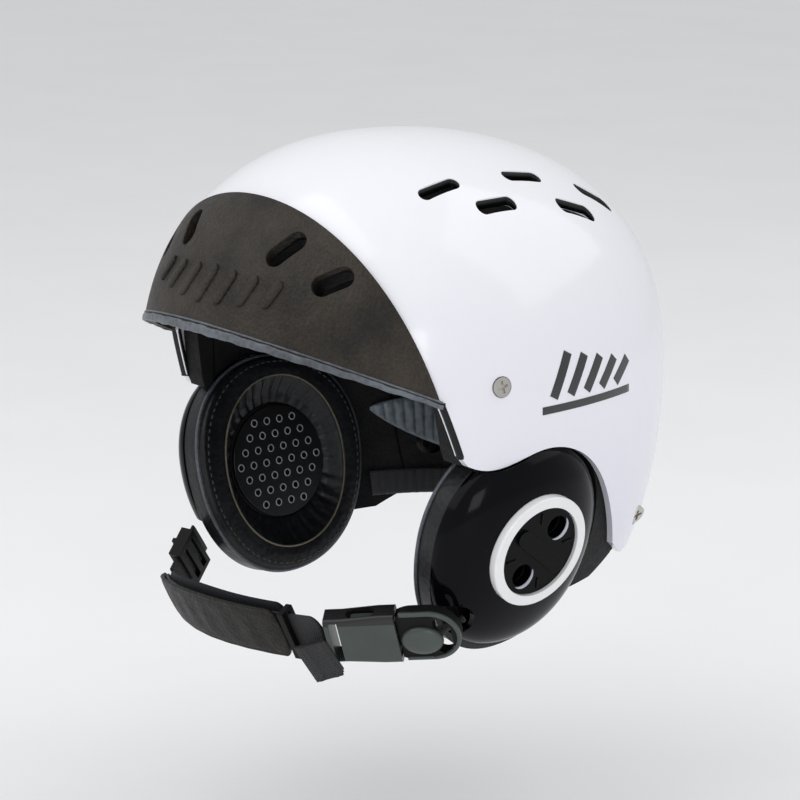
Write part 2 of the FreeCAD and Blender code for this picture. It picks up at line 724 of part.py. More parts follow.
def link_web():
    top, along, out, length = link_frame()
    half = WEB_WIDTH / 2
    web = block((0.5, -half, -WEB_WALL / 2), (length - 1.5, half, WEB_WALL / 2))
    return place(web, top, along, out)


def ladder_lock():
    """Sliding adjuster: a frame with three bars round the webbing."""
    top, along, out, length = link_frame()
    gap = WEB_WALL / 2 + LAYER_GAP
    start = LOCK_START
    half = WEB_WIDTH / 2 + LAYER_GAP
    wide = half + LOCK_RIM
    frame = block((start, -wide, -gap - LOCK_WALL), (LOCK_END, wide, gap + LOCK_WALL))
    frame = frame.cut(block((start - 1, -half, -gap), (LOCK_END + 1, half, gap)))
    windows = []
    for low in (start + LOCK_RIM, start + LOCK_RIM + 6.0):
        windows.append(block((low, -half, -9), (low + 3.0, half, 9)))
    teeth = [block((start + 5.9, -wide, gap), (start + 7.9, wide, gap + 3.2))]
    return place(frame.cut(windows).fuse(teeth), top, along, out)


def chin_web():
    return strap_ribbon(PAD_START, BUCKLE_START - 1.5, 0.0, WEB_WIDTH, WEB_WALL, PAD_TIP_HEIGHT)


def chin_pad_upper():
    """Soft pad on the chin's side of the webbing."""
    offset = -(WEB_WALL / 2 + LAYER_GAP + PAD_UPPER_WALL / 2)
    return strap_ribbon(PAD_START, PAD_END, offset, PAD_HEIGHT, PAD_UPPER_WALL, PAD_TIP_HEIGHT)


def chin_pad_lower():
    """Cover on the outer side of the webbing."""
    offset = WEB_WALL / 2 + LAYER_GAP + PAD_LOWER_WALL / 2
    return strap_ribbon(PAD_START - 4.0, PAD_END, offset, PAD_HEIGHT, PAD_LOWER_WALL, PAD_TIP_HEIGHT)


def buckle_frame():
    """Origin, long axis and outward axis of the buckle, which is straight."""
    start = strap_point(BUCKLE_START)
    aim = ANCHOR + V(9.0, 0.0, 1.0)
    along = (aim - start).normalize()
    out = strap_out((BUCKLE_START + 90.0) / 2)
    out = (out - along * out.dot(along)).normalize()
    return start, along, out


def in_buckle(shape):
    start, along, out = buckle_frame()
    return place(shape, start, along, out)


def buckle_female():
    """Hollow body with a mouth for the prongs, side windows and a webbing bar."""
    half = FEMALE_HEIGHT / 2
    outline = [(0, FEMALE_BAR_WIDTH / 2), (7, FEMALE_BAR_WIDTH / 2), (FEMALE_LENGTH - 7, FEMALE_WIDTH / 2),
               (FEMALE_LENGTH, FEMALE_WIDTH / 2)]
    corners = [V(x, y, -half) for x, y in outline] + [V(x, -y, -half) for x, y in reversed(outline)]
    body = Part.Face(Part.makePolygon(corners + corners[:1])).extrude(V(0, 0, FEMALE_HEIGHT))
    long_edges = [e for e in body.Edges
                  if abs(e.BoundBox.ZMax - e.BoundBox.ZMin) < 0.01 and e.BoundBox.XMax - e.BoundBox.XMin > 1]
    body = body.makeFillet(1.8, long_edges)
    inner = half - BUCKLE_WALL
    mouth = FEMALE_WIDTH / 2 - BUCKLE_WALL
    cavity = block((7.5, -mouth + 1.2, -inner), (FEMALE_LENGTH + 1, mouth - 1.2, inner))
    windows = pill(12.0, 2 * inner - 0.8, -20, 20)
    windows.rotate(V(0, 0, 0), V(1, 0, 0), 90)
    windows.translate(V(15.0, 0, 0))
    bar_slot = block((2.2, -WEB_WIDTH / 2 - 0.5, -half - 1), (5.6, WEB_WIDTH / 2 + 0.5, half + 1))
    return in_buckle(body.cut([cavity, windows, bar_slot]))


def prong_reach():
    """Distance from the buckle's middle line to the outer side of a prong."""
    return FEMALE_WIDTH / 2 - BUCKLE_WALL - 1.2 - BUCKLE_CLEAR


def buckle_male():
    """Ring for the webbing with a base that closes the mouth, and a middle tongue."""
    start = FEMALE_LENGTH + BUCKLE_CLEAR
    half = MALE_HEIGHT / 2
    ring = pill(MALE_RING_LENGTH + 6, MALE_RING_WIDTH, -half, half)
    ring.translate(V(start + MALE_RING_LENGTH / 2 - 3.0, 0, 0))
    ring = ring.common(block((start, -50, -50), (200, 50, 50)))
    hole = pill(MALE_RING_WIDTH - 2 * MALE_RIM, 7.0, -20, 20)
    hole.rotate(V(0, 0, 0), V(0, 0, 1), 90)
    hole.translate(V(start + MALE_RING_LENGTH - MALE_RIM - 4.0, 0, 0))
    button = conic_dome(V(start + 9.0, -2.0, half - 0.5), (DOME_LENGTH / 2, DOME_LENGTH / 2),
                        (DOME_WIDTH / 2, DOME_WIDTH / 2), (2.0, 3.0), (0.78, 0.78), (0.85, 0.85))
    tongue = block((FEMALE_LENGTH - 15, -TONGUE_WIDTH / 2, -1.5), (start + 1, TONGUE_WIDTH / 2, 1.5))
    return in_buckle(ring.cut(hole).fuse([button, tongue]))


def prong(side):
    """Springy arm with a rounded finger head that shows in the side window."""
    reach = prong_reach()
    start = FEMALE_LENGTH - BUCKLE_CLEAR
    arm = block((start - PRONG_LENGTH, reach - PRONG_WIDTH, -2.0), (start - 0.2, reach, 2.0))
    head = pill(9.5, 5.4, -2.2, 2.2)
    head.translate(V(start - 12.0, reach - 2.7, 0))
    body = arm.fuse(head).common(block((-50, 0, -50), (50, reach, 50)))
    if side < 0:
        body = body.mirror(V(0, 0, 0), V(0, 1, 0))
    return in_buckle(body)


def loop_web():
    """Webbing from the left anchor through the buckle's ring."""
    start, along, out = buckle_frame()
    ring_hole = start + along * (FEMALE_LENGTH + BUCKLE_CLEAR + MALE_RING_LENGTH - MALE_RIM - 4.0)
    stations = [ANCHOR + V(0, -0.4, 0), ring_hole - out * LOOP_BEHIND]
    return ribbon(stations, [out] * 2, [WEB_WIDTH - 1.0] * 2, WEB_WALL)


def web_tail():
    """Loose end of the webbing, folded back and hanging behind the buckle."""
    start, along, out = buckle_frame()
    across = along.cross(out).normalize()
    top = start - along * TAIL_BEFORE + out * (WEB_WALL / 2 + 2.2) + across
    half = TAIL_WALL / 2
    fold = block((-TAIL_WIDTH / 2, -TAIL_LENGTH, -half), (TAIL_WIDTH / 2, 0, half))
    return place(fold, top, along, out)


def web_keeper():
    """Elastic loop that holds the folded webbing together."""
    angle = PAD_END + 2.0
    outer = WEB_WALL / 2 + 2.8
    inner = WEB_WALL / 2 + LAYER_GAP
    half = WEB_WIDTH / 2
    wide = half + KEEPER_WALL
    ring = block((-KEEPER_WIDTH / 2, -wide, -outer), (KEEPER_WIDTH / 2, wide, outer))
    ring = ring.cut(block((-9, -half - 0.6, -inner), (9, half + 0.6, inner)))
    along = strap_point(angle + 1) - strap_point(angle - 1)
    return place(ring, strap_point(angle), along, strap_out(angle))


# ---- Write one file per piece ---------------------------------------------------------------------------------

def build():
    pieces = {
        "outer_shell": outer_shell(),
        "peak": peak(),
        "brow_pad": brow_pad(),
        "nape_pad": nape_pad(),
        "nape_elastic": nape_elastic(),
        "side_screws": pair(screw(side_screw())),
        "rear_screws": pair(screw(rear_screw())),
        "tee_nuts": Part.makeCompound([pair(tee_nut(p)) for p in (side_screw(), rear_screw())]),
        "buckle_female": buckle_female(),
        "buckle_male": buckle_male(),
        "prong_upper": prong(1),
        "prong_lower": prong(-1),
        "loop_web": loop_web(),
        "chin_web": chin_web(),
        "chin_pad_upper": chin_pad_upper(),
        "chin_pad_lower": chin_pad_lower(),
        "web_tail": web_tail(),
        "web_keeper": web_keeper(),
        "link_web": link_web(),
        "ladder_lock": ladder_lock(),
    }
    pieces.update(liner_panels())
    handed = {
        "pod_casing": pod_casing, "pod_backplate": pod_backplate, "dial_ring": dial_ring,
        "vent_dial": vent_dial, "dial_seal": dial_seal, "ear_pad": ear_pad,
        "ear_grille": ear_grille, "anchor_web": anchor_web,
    }
    for name, make in handed.items():
        left = make()
        pieces[name + "_left"] = left
        pieces[name + "_right"] = mirrored(left)
    return pieces


os.makedirs("parts", exist_ok=True)
for name, shape in build().items():
    shape.exportStep("parts/" + name + ".step")
    print(name, "solids", len(shape.Solids), "volume", round(shape.Volume), "valid", shape.isValid())
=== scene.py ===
"""Water sports helmet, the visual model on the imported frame.

Metres, in the CAD frame: +Z up, -Y front, +X the wearer's left, origin midway between
the ears. Hard pieces are joined copies of their CAD solids. Soft pieces, webbing, trim
and graphics are surfaces worked out here from the same formulas as the solids.
"""
import bmesh
import bpy
import json
import math
import numpy as np
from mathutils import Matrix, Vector


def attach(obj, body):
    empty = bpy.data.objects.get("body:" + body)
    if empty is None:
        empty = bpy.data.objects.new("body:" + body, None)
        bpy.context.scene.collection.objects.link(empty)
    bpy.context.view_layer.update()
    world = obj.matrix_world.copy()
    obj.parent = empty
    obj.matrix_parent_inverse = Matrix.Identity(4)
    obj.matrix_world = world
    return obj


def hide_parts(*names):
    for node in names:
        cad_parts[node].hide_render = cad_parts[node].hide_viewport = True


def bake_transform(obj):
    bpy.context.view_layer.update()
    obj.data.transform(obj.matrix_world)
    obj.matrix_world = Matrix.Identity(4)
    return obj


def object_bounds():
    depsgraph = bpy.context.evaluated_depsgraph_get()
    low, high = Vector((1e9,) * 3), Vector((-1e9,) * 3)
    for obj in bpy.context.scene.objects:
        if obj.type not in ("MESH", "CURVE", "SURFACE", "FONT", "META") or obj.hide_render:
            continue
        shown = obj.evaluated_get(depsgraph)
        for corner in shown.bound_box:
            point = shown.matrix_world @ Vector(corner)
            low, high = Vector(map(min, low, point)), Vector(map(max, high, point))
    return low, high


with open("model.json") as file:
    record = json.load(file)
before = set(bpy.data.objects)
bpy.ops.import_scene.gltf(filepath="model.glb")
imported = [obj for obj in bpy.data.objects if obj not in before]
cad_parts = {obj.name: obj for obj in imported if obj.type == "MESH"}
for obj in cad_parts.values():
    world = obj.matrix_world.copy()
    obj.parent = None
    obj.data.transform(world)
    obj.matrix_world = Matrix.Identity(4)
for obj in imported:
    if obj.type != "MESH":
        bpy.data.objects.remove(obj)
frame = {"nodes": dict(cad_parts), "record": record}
CAD_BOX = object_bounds()
NODES = frame["nodes"]
MM = 0.001

# ---- Helmet dome, as in the part's source ------------------------------------------------
DOME_HALF_WIDTH = 100 * MM
DOME_FRONT = 100 * MM
DOME_REAR = 125 * MM
DOME_TOP = 100 * MM
DOME_BOTTOM = 146 * MM
DOME_CENTRE_Z = 48.7 * MM
PLAN_FRONT_FULLNESS = 0.753
PLAN_REAR_FULLNESS = 0.80
TOP_FULLNESS = 0.87
BOTTOM_FULLNESS = 0.88
LINER_INSET = 12.6 * MM             # shell, foam and the gap between them

# ---- Peak --------------------------------------------------------------------------------
PEAK_PROUD = 4.3 * MM
PEAK_RISE = 1.5 * MM
TEMPLE = (-47.3 * MM, 56.0 * MM)    # rear tip of the peak in side view, as (y, z)
PEAK_EDGE = (-99.5 * MM, 78.5 * MM)
LIP_HEIGHT = 3.6 * MM
LIP_WALL = 1.5 * MM
BAR_PITCH = 0.083                   # between the ornament's bars, in quarter turns
BAR_SLANT = 0.022

# ---- Ear pods ----------------------------------------------------------------------------
POD_FACE = np.array((100.5, -5.0, -8.0)) * MM
POD_TILT = math.radians(13.0)
POD_DEPTH = 18 * MM
PAD_REACH = (48 * MM, 41 * MM, 42 * MM, 53 * MM)    # rear, front, up, down
PAD_FULLNESS = 0.80
PAD_WALL = 12 * MM
DISH_MIDDLE = (5 * MM, -5 * MM)
DISH_REACH = (31 * MM, 37 * MM)
DISH_DEPTH = 8 * MM
DISH_FULLNESS = 0.75
GRILLE_RADIUS = 24.9 * MM
RING_HEIGHT = 5.4 * MM
DIAL_WALL = 4.0 * MM
GRILLE_PITCH = 7.0 * MM
PORT_RADIUS = 12.0 * MM
PORT_ANGLE = 52.0
PORT_HOLE = 9.6 * MM
PLEATS = 34
PAINTED_GLINT_RING_WIRE = 0.28 * MM

# ---- Straps ------------------------------------------------------------------------------
ANCHOR = np.array((84.0, -38.0, -37.0)) * MM
LOOP_DEPTH = 42 * MM
STRAP_MID_Z = -46.5 * MM
STRAP_RISE = 8 * MM
WEB_TILT = math.radians(25.0)
WEB_WIDTH = 19 * MM
WEB_WALL = 1.6 * MM
BUCKLE_START = 35.0                 # place along the strap's route, in degrees
RIB_DEPTH = 0.25 * MM               # of the webbing's weave
PAD_HALF_WIDTH = 12 * MM
TIP_WIDTH = 13 * MM                 # the strap at its right-hand end
TAIL_LAYERS = 3

# ---- Simulation --------------------------------------------------------------------------
CLOTH_FRAMES = 20


# ---- Numbers on grids --------------------------------------------------------------------

def unit(vectors):
    """Vectors divided by their lengths."""
    length = np.linalg.norm(vectors, axis=-1, keepdims=True)
    return vectors / np.maximum(length, 1e-12)


def ease(x):
    """Smooth step from 0 to 1: three x squared less two x cubed."""
    x = np.clip(x, 0.0, 1.0)
    return x * x * (3 - 2 * x)


def bump(x, centre, width):
    """Bell of height 1 round centre: e to the minus squared distance over width."""
    return np.exp(-((x - centre) / width) ** 2)


def conic(t, fullness):
    """Quarter arc from (1, 0) to (0, 1), pulled to (1, 1) by its fullness: the rational
    quadratic with weights 1, fullness and 1."""
    near, middle, far = (1 - t) ** 2, 2 * t * (1 - t) * fullness, t ** 2
    total = near + middle + far
    return (near + middle) / total, (middle + far) / total


def conic_across(along, fullness):
    """Other coordinate of a point on that arc: the smaller root of (X + Y - 1) squared
    = 4 fullness squared (1 - X)(1 - Y)."""
    spread = 2 * along + 4 * fullness ** 2 * (1 - along)
    return 1 - (spread - np.sqrt(np.maximum(spread ** 2 - 4 * along ** 2, 0))) / 2


def dome(turn, height, inset, proud=0.0):
    """Point of the helmet's dome, shrunk by inset. turn is in quarter turns from the rear,
    positive to the left, so the front is 2. Level, the conic of the height, scales the
    plan oval, whose four arcs are conics too."""
    turn, height = np.broadcast_arrays(turn, height)
    above = height > DOME_CENTRE_Z
    rise = PEAK_RISE if proud else 0.0
    depth = np.where(above, DOME_TOP - inset + rise, DOME_BOTTOM - inset)
    side = np.where(above, TOP_FULLNESS, BOTTOM_FULLNESS)
    level = conic_across(np.clip(np.abs(height - DOME_CENTRE_Z) / depth, 0, 1), side)
    quarter = np.abs(turn)
    back = quarter < 1
    fullness = np.where(back, PLAN_REAR_FULLNESS, PLAN_FRONT_FULLNESS)
    first, second = conic(np.where(back, quarter, 2 - quarter), fullness)
    x = np.sign(turn) * (DOME_HALF_WIDTH - inset) * level * second
    reach = np.where(back, DOME_REAR - inset, -(DOME_FRONT - inset + proud))
    return np.stack([x, reach * level * first, height], axis=-1)


def dome_out(turn, height, inset, proud=0.0):
    """Outward direction of the dome: the cross product of its two steps."""
    step = 0.002
    climb = step * 0.1
    along = dome(turn + step, height, inset, proud) - dome(turn - step, height, inset, proud)
    up = dome(turn, height + climb, inset, proud) - dome(turn, height - climb, inset, proud)
    return unit(np.cross(up, along))


def turn_at(y, height, inset):
    """Turn at which the dome reaches a given y at one height, by interpolation."""
    turns = np.linspace(0, 2, 400)
    return float(np.interp(-y, -dome(turns, height, inset)[:, 1], turns))


def turns_at(y, heights, side, inset, first, last, count):
    """Turns at which the dome has each y at each height, on one side."""
    turns = np.linspace(first, last, count)
    found = [np.interp(-v, -dome(turns, h, inset)[:, 1], turns) for v, h in zip(y, heights)]
    return np.array(found) * side


def hand_name(side):
    return "left" if side > 0 else "right"


def pod_axes(side):
    """Rearward, upward and outward directions of a pod: side is 1 left, -1 right."""
    out = np.array((side * math.cos(POD_TILT), 0, -math.sin(POD_TILT)))
    up = np.array((side * math.sin(POD_TILT), 0, math.cos(POD_TILT)))
    return np.array((0.0, 1.0, 0.0)), up, out


def in_pod(local, side):
    """Points given as rearward, up and outward from the pod's base, in the helmet."""
    rear, up, out = pod_axes(side)
    face = POD_FACE * np.array((side, 1, 1))
    base = face - out * POD_DEPTH
    return base + local[..., :1] * rear + local[..., 1:2] * up + local[..., 2:] * out


def oval(turn, reaches, fullness):
    """Closed outline of four conic arcs. turn runs from 0 to 4, from rear by up to front
    and down, and reaches are rear, front, up and down."""
    quarter = np.floor(turn).astype(int) % 4
    t = turn - np.floor(turn)
    t = np.where(quarter % 2 == 0, t, 1 - t)
    first, second = conic(t, fullness)
    rear, front, up, down = reaches
    x = first * np.choose(quarter, [rear, -front, -front, rear])
    y = second * np.choose(quarter, [up, up, -down, -down])
    return x, y


def pad_outlines(turn):
    """Outlines of the ear pad and of its dish, each about its own middle."""
    outer = oval(turn, PAD_REACH, PAD_FULLNESS)
    dish = oval(turn, (DISH_REACH[0],) * 2 + (DISH_REACH[1],) * 2, DISH_FULLNESS)
    return outer, dish


def pad_path(turn, share, rise):
    """Line on the ear pad: the outline moved in by a share of the way to the dish, at a
    given part of the pad's height."""
    outer, dish = pad_outlines(turn)
    x = outer[0] * (1 - share) + (DISH_MIDDLE[0] + dish[0]) * share
    y = outer[1] * (1 - share) + (DISH_MIDDLE[1] + dish[1]) * share
    return np.stack([x, y, np.full_like(x, -PAD_WALL * rise)], axis=-1)


def strap_point(degrees):
    """Chin strap's route: an oval in plan that rises towards the buckle."""
    a = np.radians(degrees)
    return np.stack([(ANCHOR[0] + 2 * MM) * np.sin(a), ANCHOR[1] - LOOP_DEPTH * np.cos(a),
                     STRAP_MID_Z + STRAP_RISE * np.sin(a)], axis=-1)


def strap_out(degrees):
    """Outward direction of the strap's face: the oval's normal, leaning down."""
    a = np.radians(degrees)
    flat = np.stack([np.sin(a) / (ANCHOR[0] + 2 * MM), -np.cos(a) / LOOP_DEPTH, 0 * a], axis=-1)
    return unit(flat) * math.cos(WEB_TILT) + np.array((0, 0, -math.sin(WEB_TILT)))


def bezier(points, count):
    """Smooth line through a polygon's ends: repeated averaging of neighbours."""
    t = np.linspace(0, 1, count)[:, None]
    levels = [np.broadcast_to(np.array(p, float), (count, 3)) for p in points]
    while len(levels) > 1:
        levels = [a * (1 - t) + b * t for a, b in zip(levels, levels[1:])]
    return levels[0]


# ---- Meshes from grids -------------------------------------------------------------------

def mesh_piece(name, corners, faces, uv=None, material=None, smooth=True):
    """Mesh object from whole arrays, its normals turned outward."""
    mesh = bpy.data.meshes.new(name)
    mesh.from_pydata(corners.reshape(-1, 3).tolist(), [], faces.tolist())
    if uv is not None:
        layer = mesh.uv_layers.new(name="UVMap")
        index = np.empty(len(mesh.loops), int)
        mesh.loops.foreach_get("vertex_index", index)
        layer.data.foreach_set("uv", uv.reshape(-1, 2)[index].ravel())
    mesh.polygons.foreach_set("use_smooth", [smooth] * len(mesh.polygons))
    mesh.update()
    piece = bpy.data.objects.new(name, mesh)
    bpy.context.scene.collection.objects.link(piece)
    if material:
        mesh.materials.append(material)
    turn_outward(mesh)
    return piece


def turn_outward(mesh):
    """Merge the seam and the poles, then make every face look out."""
    work = bmesh.new()
    work.from_mesh(mesh)
    bmesh.ops.remove_doubles(work, verts=work.verts, dist=1e-7)
    bmesh.ops.dissolve_degenerate(work, edges=work.edges, dist=1e-8)
    bmesh.ops.recalc_face_normals(work, faces=work.faces)
    work.to_mesh(mesh)
    work.free()
    mesh.update()


def grid_faces(rows, columns, round_rows=False, round_columns=False):
    """Quads of a grid of rows by columns, closed round either way if asked."""
    last_row = rows if round_rows else rows - 1
    last_column = columns if round_columns else columns - 1
    i, j = np.meshgrid(np.arange(last_row), np.arange(last_column), indexing="ij")
    a = i * columns + j
    b = ((i + 1) % rows) * columns + j
    c = ((i + 1) % rows) * columns + (j + 1) % columns
    d = i * columns + (j + 1) % columns
    return np.stack([a, b, c, d], axis=-1).reshape(-1, 4)


def close_ends(rings):
    """Rings of points with one more at each end, drawn together to its middle."""
    first = rings[:1].mean(axis=1, keepdims=True)
    last = rings[-1:].mean(axis=1, keepdims=True)
    count = rings.shape[1]
    return np.concatenate([np.repeat(first, count, 1), rings, np.repeat(last, count, 1)])


def tube(name, rings, material):
    """Closed body from rings of points. The UV map is metres along and round."""
    rings = close_ends(rings)
    count = rings.shape[1]
    steps = np.linalg.norm(np.diff(rings.mean(axis=1), axis=0), axis=-1)
    along = np.concatenate([[0], np.cumsum(steps)])
    sizes = np.linalg.norm(rings - np.roll(rings, 1, axis=1), axis=-1)
    around = np.cumsum(sizes, axis=1)
    uv = np.stack([np.broadcast_to(along[:, None], around.shape), around], axis=-1)
    faces = grid_faces(rings.shape[0], count, round_columns=True)
    return mesh_piece(name, rings, faces, uv, material)


def band(name, centres, outs, widths, wall, material, squareness=5.0, count=28, relief=None):
    """Strap with soft edges: a superellipse section, |x| to the squareness plus |y| to
    the squareness = 1, carried along the centres. relief(along, across) is added to the
    outer face, along in metres and across from -1 to 1."""
    widths = np.broadcast_to(widths, len(centres))
    walls = np.broadcast_to(wall, len(centres))
    along = unit(np.gradient(centres, axis=0))
    across = unit(np.cross(along, outs))
    normal = unit(np.cross(across, along))
    angle = np.linspace(0, 2 * np.pi, count, endpoint=False)
    power = 2 / squareness
    x = np.sign(np.cos(angle)) * np.abs(np.cos(angle)) ** power
    y = np.sign(np.sin(angle)) * np.abs(np.sin(angle)) ** power
    high = y * walls[:, None] / 2
    if relief:
        steps = np.linalg.norm(np.diff(centres, axis=0), axis=-1)
        run = np.concatenate([[0], np.cumsum(steps)])
        high = high + relief(run[:, None], x[None, :]) * np.clip(y, 0, 1)
    rings = (centres[:, None] + across[:, None] * (x * widths[:, None] / 2)[..., None]
             + normal[:, None] * high[..., None])
    return tube(name, rings, material)


def dome_band(name, turn, height, inset, lift, widths, wall, material, squareness, count,
              proud=0.0):
    """Band that lies on the dome through turns and heights, lifted by lift."""
    outs = dome_out(turn, height, inset, proud)
    centres = dome(turn, height, inset, proud) + outs * lift
    piece = band(name, centres, outs, widths, wall, material, squareness, count)
    return finished(piece, "helmet", ())


def joined_copy(node, material, angle, edge):
    """CAD node with its loose triangles joined, smooth over its curved faces and sharp
    at its edges, which are rounded by edge."""
    source = NODES[node]
    mesh = bpy.data.meshes.new(node + "_finish")
    work = bmesh.new()
    work.from_mesh(source.data)
    bmesh.ops.remove_doubles(work, verts=work.verts, dist=2e-6)
    bmesh.ops.dissolve_degenerate(work, edges=work.edges, dist=1e-7)
    bmesh.ops.dissolve_limit(work, verts=work.verts, edges=work.edges,
                             angle_limit=math.radians(0.4))
    work.to_mesh(mesh)
    work.free()
    if "custom_normal" in mesh.attributes:
        mesh.attributes.remove(mesh.attributes["custom_normal"])
    mesh.polygons.foreach_set("use_smooth", [True] * len(mesh.polygons))
    mesh.set_sharp_from_angle(angle=math.radians(angle))
    mesh.materials.append(material)
    piece = bpy.data.objects.new(node + "_finish", mesh)
    bpy.context.scene.collection.objects.link(piece)
    rounding = piece.modifiers.new("edge", "BEVEL")
    rounding.width = edge
    rounding.segments = 2
    rounding.limit_method = "ANGLE"
    rounding.angle_limit = math.radians(40)
    rounding.harden_normals = True
    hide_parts(node)
    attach(piece, BODY_OF[node])
    return piece


BODY_OF = {node: body for body, names in frame["record"]["behaviour"]["bodies"].items()
           for node in names}


# ---- Finishes ----------------------------------------------------------------------------

def new_material(name, colour, roughness, coat=0.0, coat_roughness=0.05, sheen=0.0,
                 metallic=0.0, specular=0.5):
    """Material with its constants on the shader. Returns it with its nodes and links."""
    material = bpy.data.materials.new(name)
    material.use_nodes = True
    nodes, links = material.node_tree.nodes, material.node_tree.links
    shader = nodes["Principled BSDF"]
    shader.inputs["Base Color"].default_value = (*colour, 1)
    shader.inputs["Roughness"].default_value = roughness
    shader.inputs["Metallic"].default_value = metallic
    shader.inputs["Coat Weight"].default_value = coat
    shader.inputs["Coat Roughness"].default_value = coat_roughness
    shader.inputs["Sheen Weight"].default_value = sheen
    shader.inputs["Specular IOR Level"].default_value = specular
    return material, nodes, links, shader


def coordinates(nodes, kind="Object"):
    """Object coordinates, or the piece's own UV map."""
    return nodes.new("ShaderNodeTexCoord").outputs[kind]


def noise(nodes, links, where, scale, detail=3.0, roughness=0.5):
    """Cloudy value from 0 to 1."""
    texture = nodes.new("ShaderNodeTexNoise")
    texture.inputs["Scale"].default_value = scale
    texture.inputs["Detail"].default_value = detail
    texture.inputs["Roughness"].default_value = roughness
    links.new(where, texture.inputs["Vector"])
    return texture.outputs["Fac"]


def cells(nodes, links, where, scale, randomness=1.0):
    """Distance to the middle of the nearest cell."""
    texture = nodes.new("ShaderNodeTexVoronoi")
    texture.inputs["Scale"].default_value = scale
    texture.inputs["Randomness"].default_value = randomness
    links.new(where, texture.inputs["Vector"])
    return texture.outputs["Distance"]


def ramp(nodes, links, factor, stops):
    """Colours between stops, each a place and a colour."""
    blend = nodes.new("ShaderNodeValToRGB")
    blend.color_ramp.elements[0].position = stops[0][0]
    blend.color_ramp.elements[0].color = (*stops[0][1], 1)
    blend.color_ramp.elements[1].position = stops[-1][0]
    blend.color_ramp.elements[1].color = (*stops[-1][1], 1)
    for place, colour in stops[1:-1]:
        blend.color_ramp.elements.new(place).color = (*colour, 1)
    links.new(factor, blend.inputs["Fac"])
    return blend.outputs["Color"]


def scaled(nodes, links, value, low, high):
    """A value from 0 to 1 mapped to the range low to high."""
    mapping = nodes.new("ShaderNodeMapRange")
    mapping.inputs["To Min"].default_value = low
    mapping.inputs["To Max"].default_value = high
    links.new(value, mapping.inputs["Value"])
    return mapping.outputs["Result"]


def blend_values(nodes, links, operation, first, second):
    """Two values added or multiplied."""
    combine = nodes.new("ShaderNodeMath")
    combine.operation = operation
    links.new(first, combine.inputs[0])
    links.new(second, combine.inputs[1])
    return combine.outputs["Value"]


def raise_surface(nodes, links, shader, height, distance):
    """Bump the surface by a height from 0 to 1, times distance."""
    lift = nodes.new("ShaderNodeBump")
    lift.inputs["Distance"].default_value = distance
    lift.inputs["Strength"].default_value = 1.0
    links.new(height, lift.inputs["Height"])
    links.new(lift.outputs["Normal"], shader.inputs["Normal"])


def moulded_plastic(name, colour, roughness, coat=0.0, mottle=0.15, grain=900.0, depth=0.00004,
                    specular=0.5):
    """Moulded plastic: colour that drifts a little, fine surface grain, and roughness
    that changes where hands have polished it."""
    material, nodes, links, shader = new_material(name, colour, roughness, coat, specular=specular)
    where = coordinates(nodes)
    drift = noise(nodes, links, where, 38.0, 4.0)
    dark = tuple(c * (1 - mottle) for c in colour)
    light = tuple(min(1.0, c * (1 + mottle)) for c in colour)
    links.new(ramp(nodes, links, drift, [(0.3, dark), (0.7, light)]), shader.inputs["Base Color"])
    links.new(scaled(nodes, links, drift, roughness * 0.75, roughness * 1.3),
              shader.inputs["Roughness"])
    fine = noise(nodes, links, where, grain, 2.0)
    raise_surface(nodes, links, shader, fine, depth)
    return material


def grained_skin(name, dark, light, roughness, scale, depth, coat=0.0, sheen=0.0, specular=0.5):
    """Leather-like skin: rounded cells with creases between them and uneven tone."""
    material, nodes, links, shader = new_material(name, light, roughness, coat, 0.3, sheen,
                                                  specular=specular)
    where = coordinates(nodes)
    pebbles = cells(nodes, links, where, scale)
    creases = noise(nodes, links, where, scale * 0.35, 6.0, 0.65)
    height = blend_values(nodes, links, "ADD", pebbles, creases)
    tone = noise(nodes, links, where, scale * 0.05, 5.0, 0.6)
    mixed = blend_values(nodes, links, "MULTIPLY", tone, scaled(nodes, links, pebbles, 0.7, 1.2))
    links.new(ramp(nodes, links, mixed, [(0.25, dark), (0.65, light)]), shader.inputs["Base Color"])
    links.new(scaled(nodes, links, creases, roughness * 0.7, roughness * 1.35),
              shader.inputs["Roughness"])
    raise_surface(nodes, links, shader, height, depth)
    return material


def woven(name, dark, light, roughness, rib=0.0011, sheen=0.2):
    """Webbing: diagonal ribs from two crossed waves in metres along and across."""
    material, nodes, links, shader = new_material(name, light, roughness, 0, 0.3, sheen)
    where = coordinates(nodes, "UV")
    waves = []
    for turn in (35, -35):
        mapping = nodes.new("ShaderNodeMapping")
        mapping.inputs["Rotation"].default_value = (0, 0, math.radians(turn))
        links.new(where, mapping.inputs["Vector"])
        wave = nodes.new("ShaderNodeTexWave")
        wave.inputs["Scale"].default_value = 0.314 / rib
        wave.inputs["Distortion"].default_value = 0.4
        links.new(mapping.outputs["Vector"], wave.inputs["Vector"])
        waves.append(wave.outputs["Fac"])
    weave = blend_values(nodes, links, "MULTIPLY", waves[0], waves[1])
    fuzz = noise(nodes, links, coordinates(nodes), 700.0, 3.0)
    height = blend_values(nodes, links, "ADD", weave, scaled(nodes, links, fuzz, 0, 0.35))
    links.new(ramp(nodes, links, height, [(0.05, dark), (0.9, light)]), shader.inputs["Base Color"])
    raise_surface(nodes, links, shader, height, RIB_DEPTH)
    return material


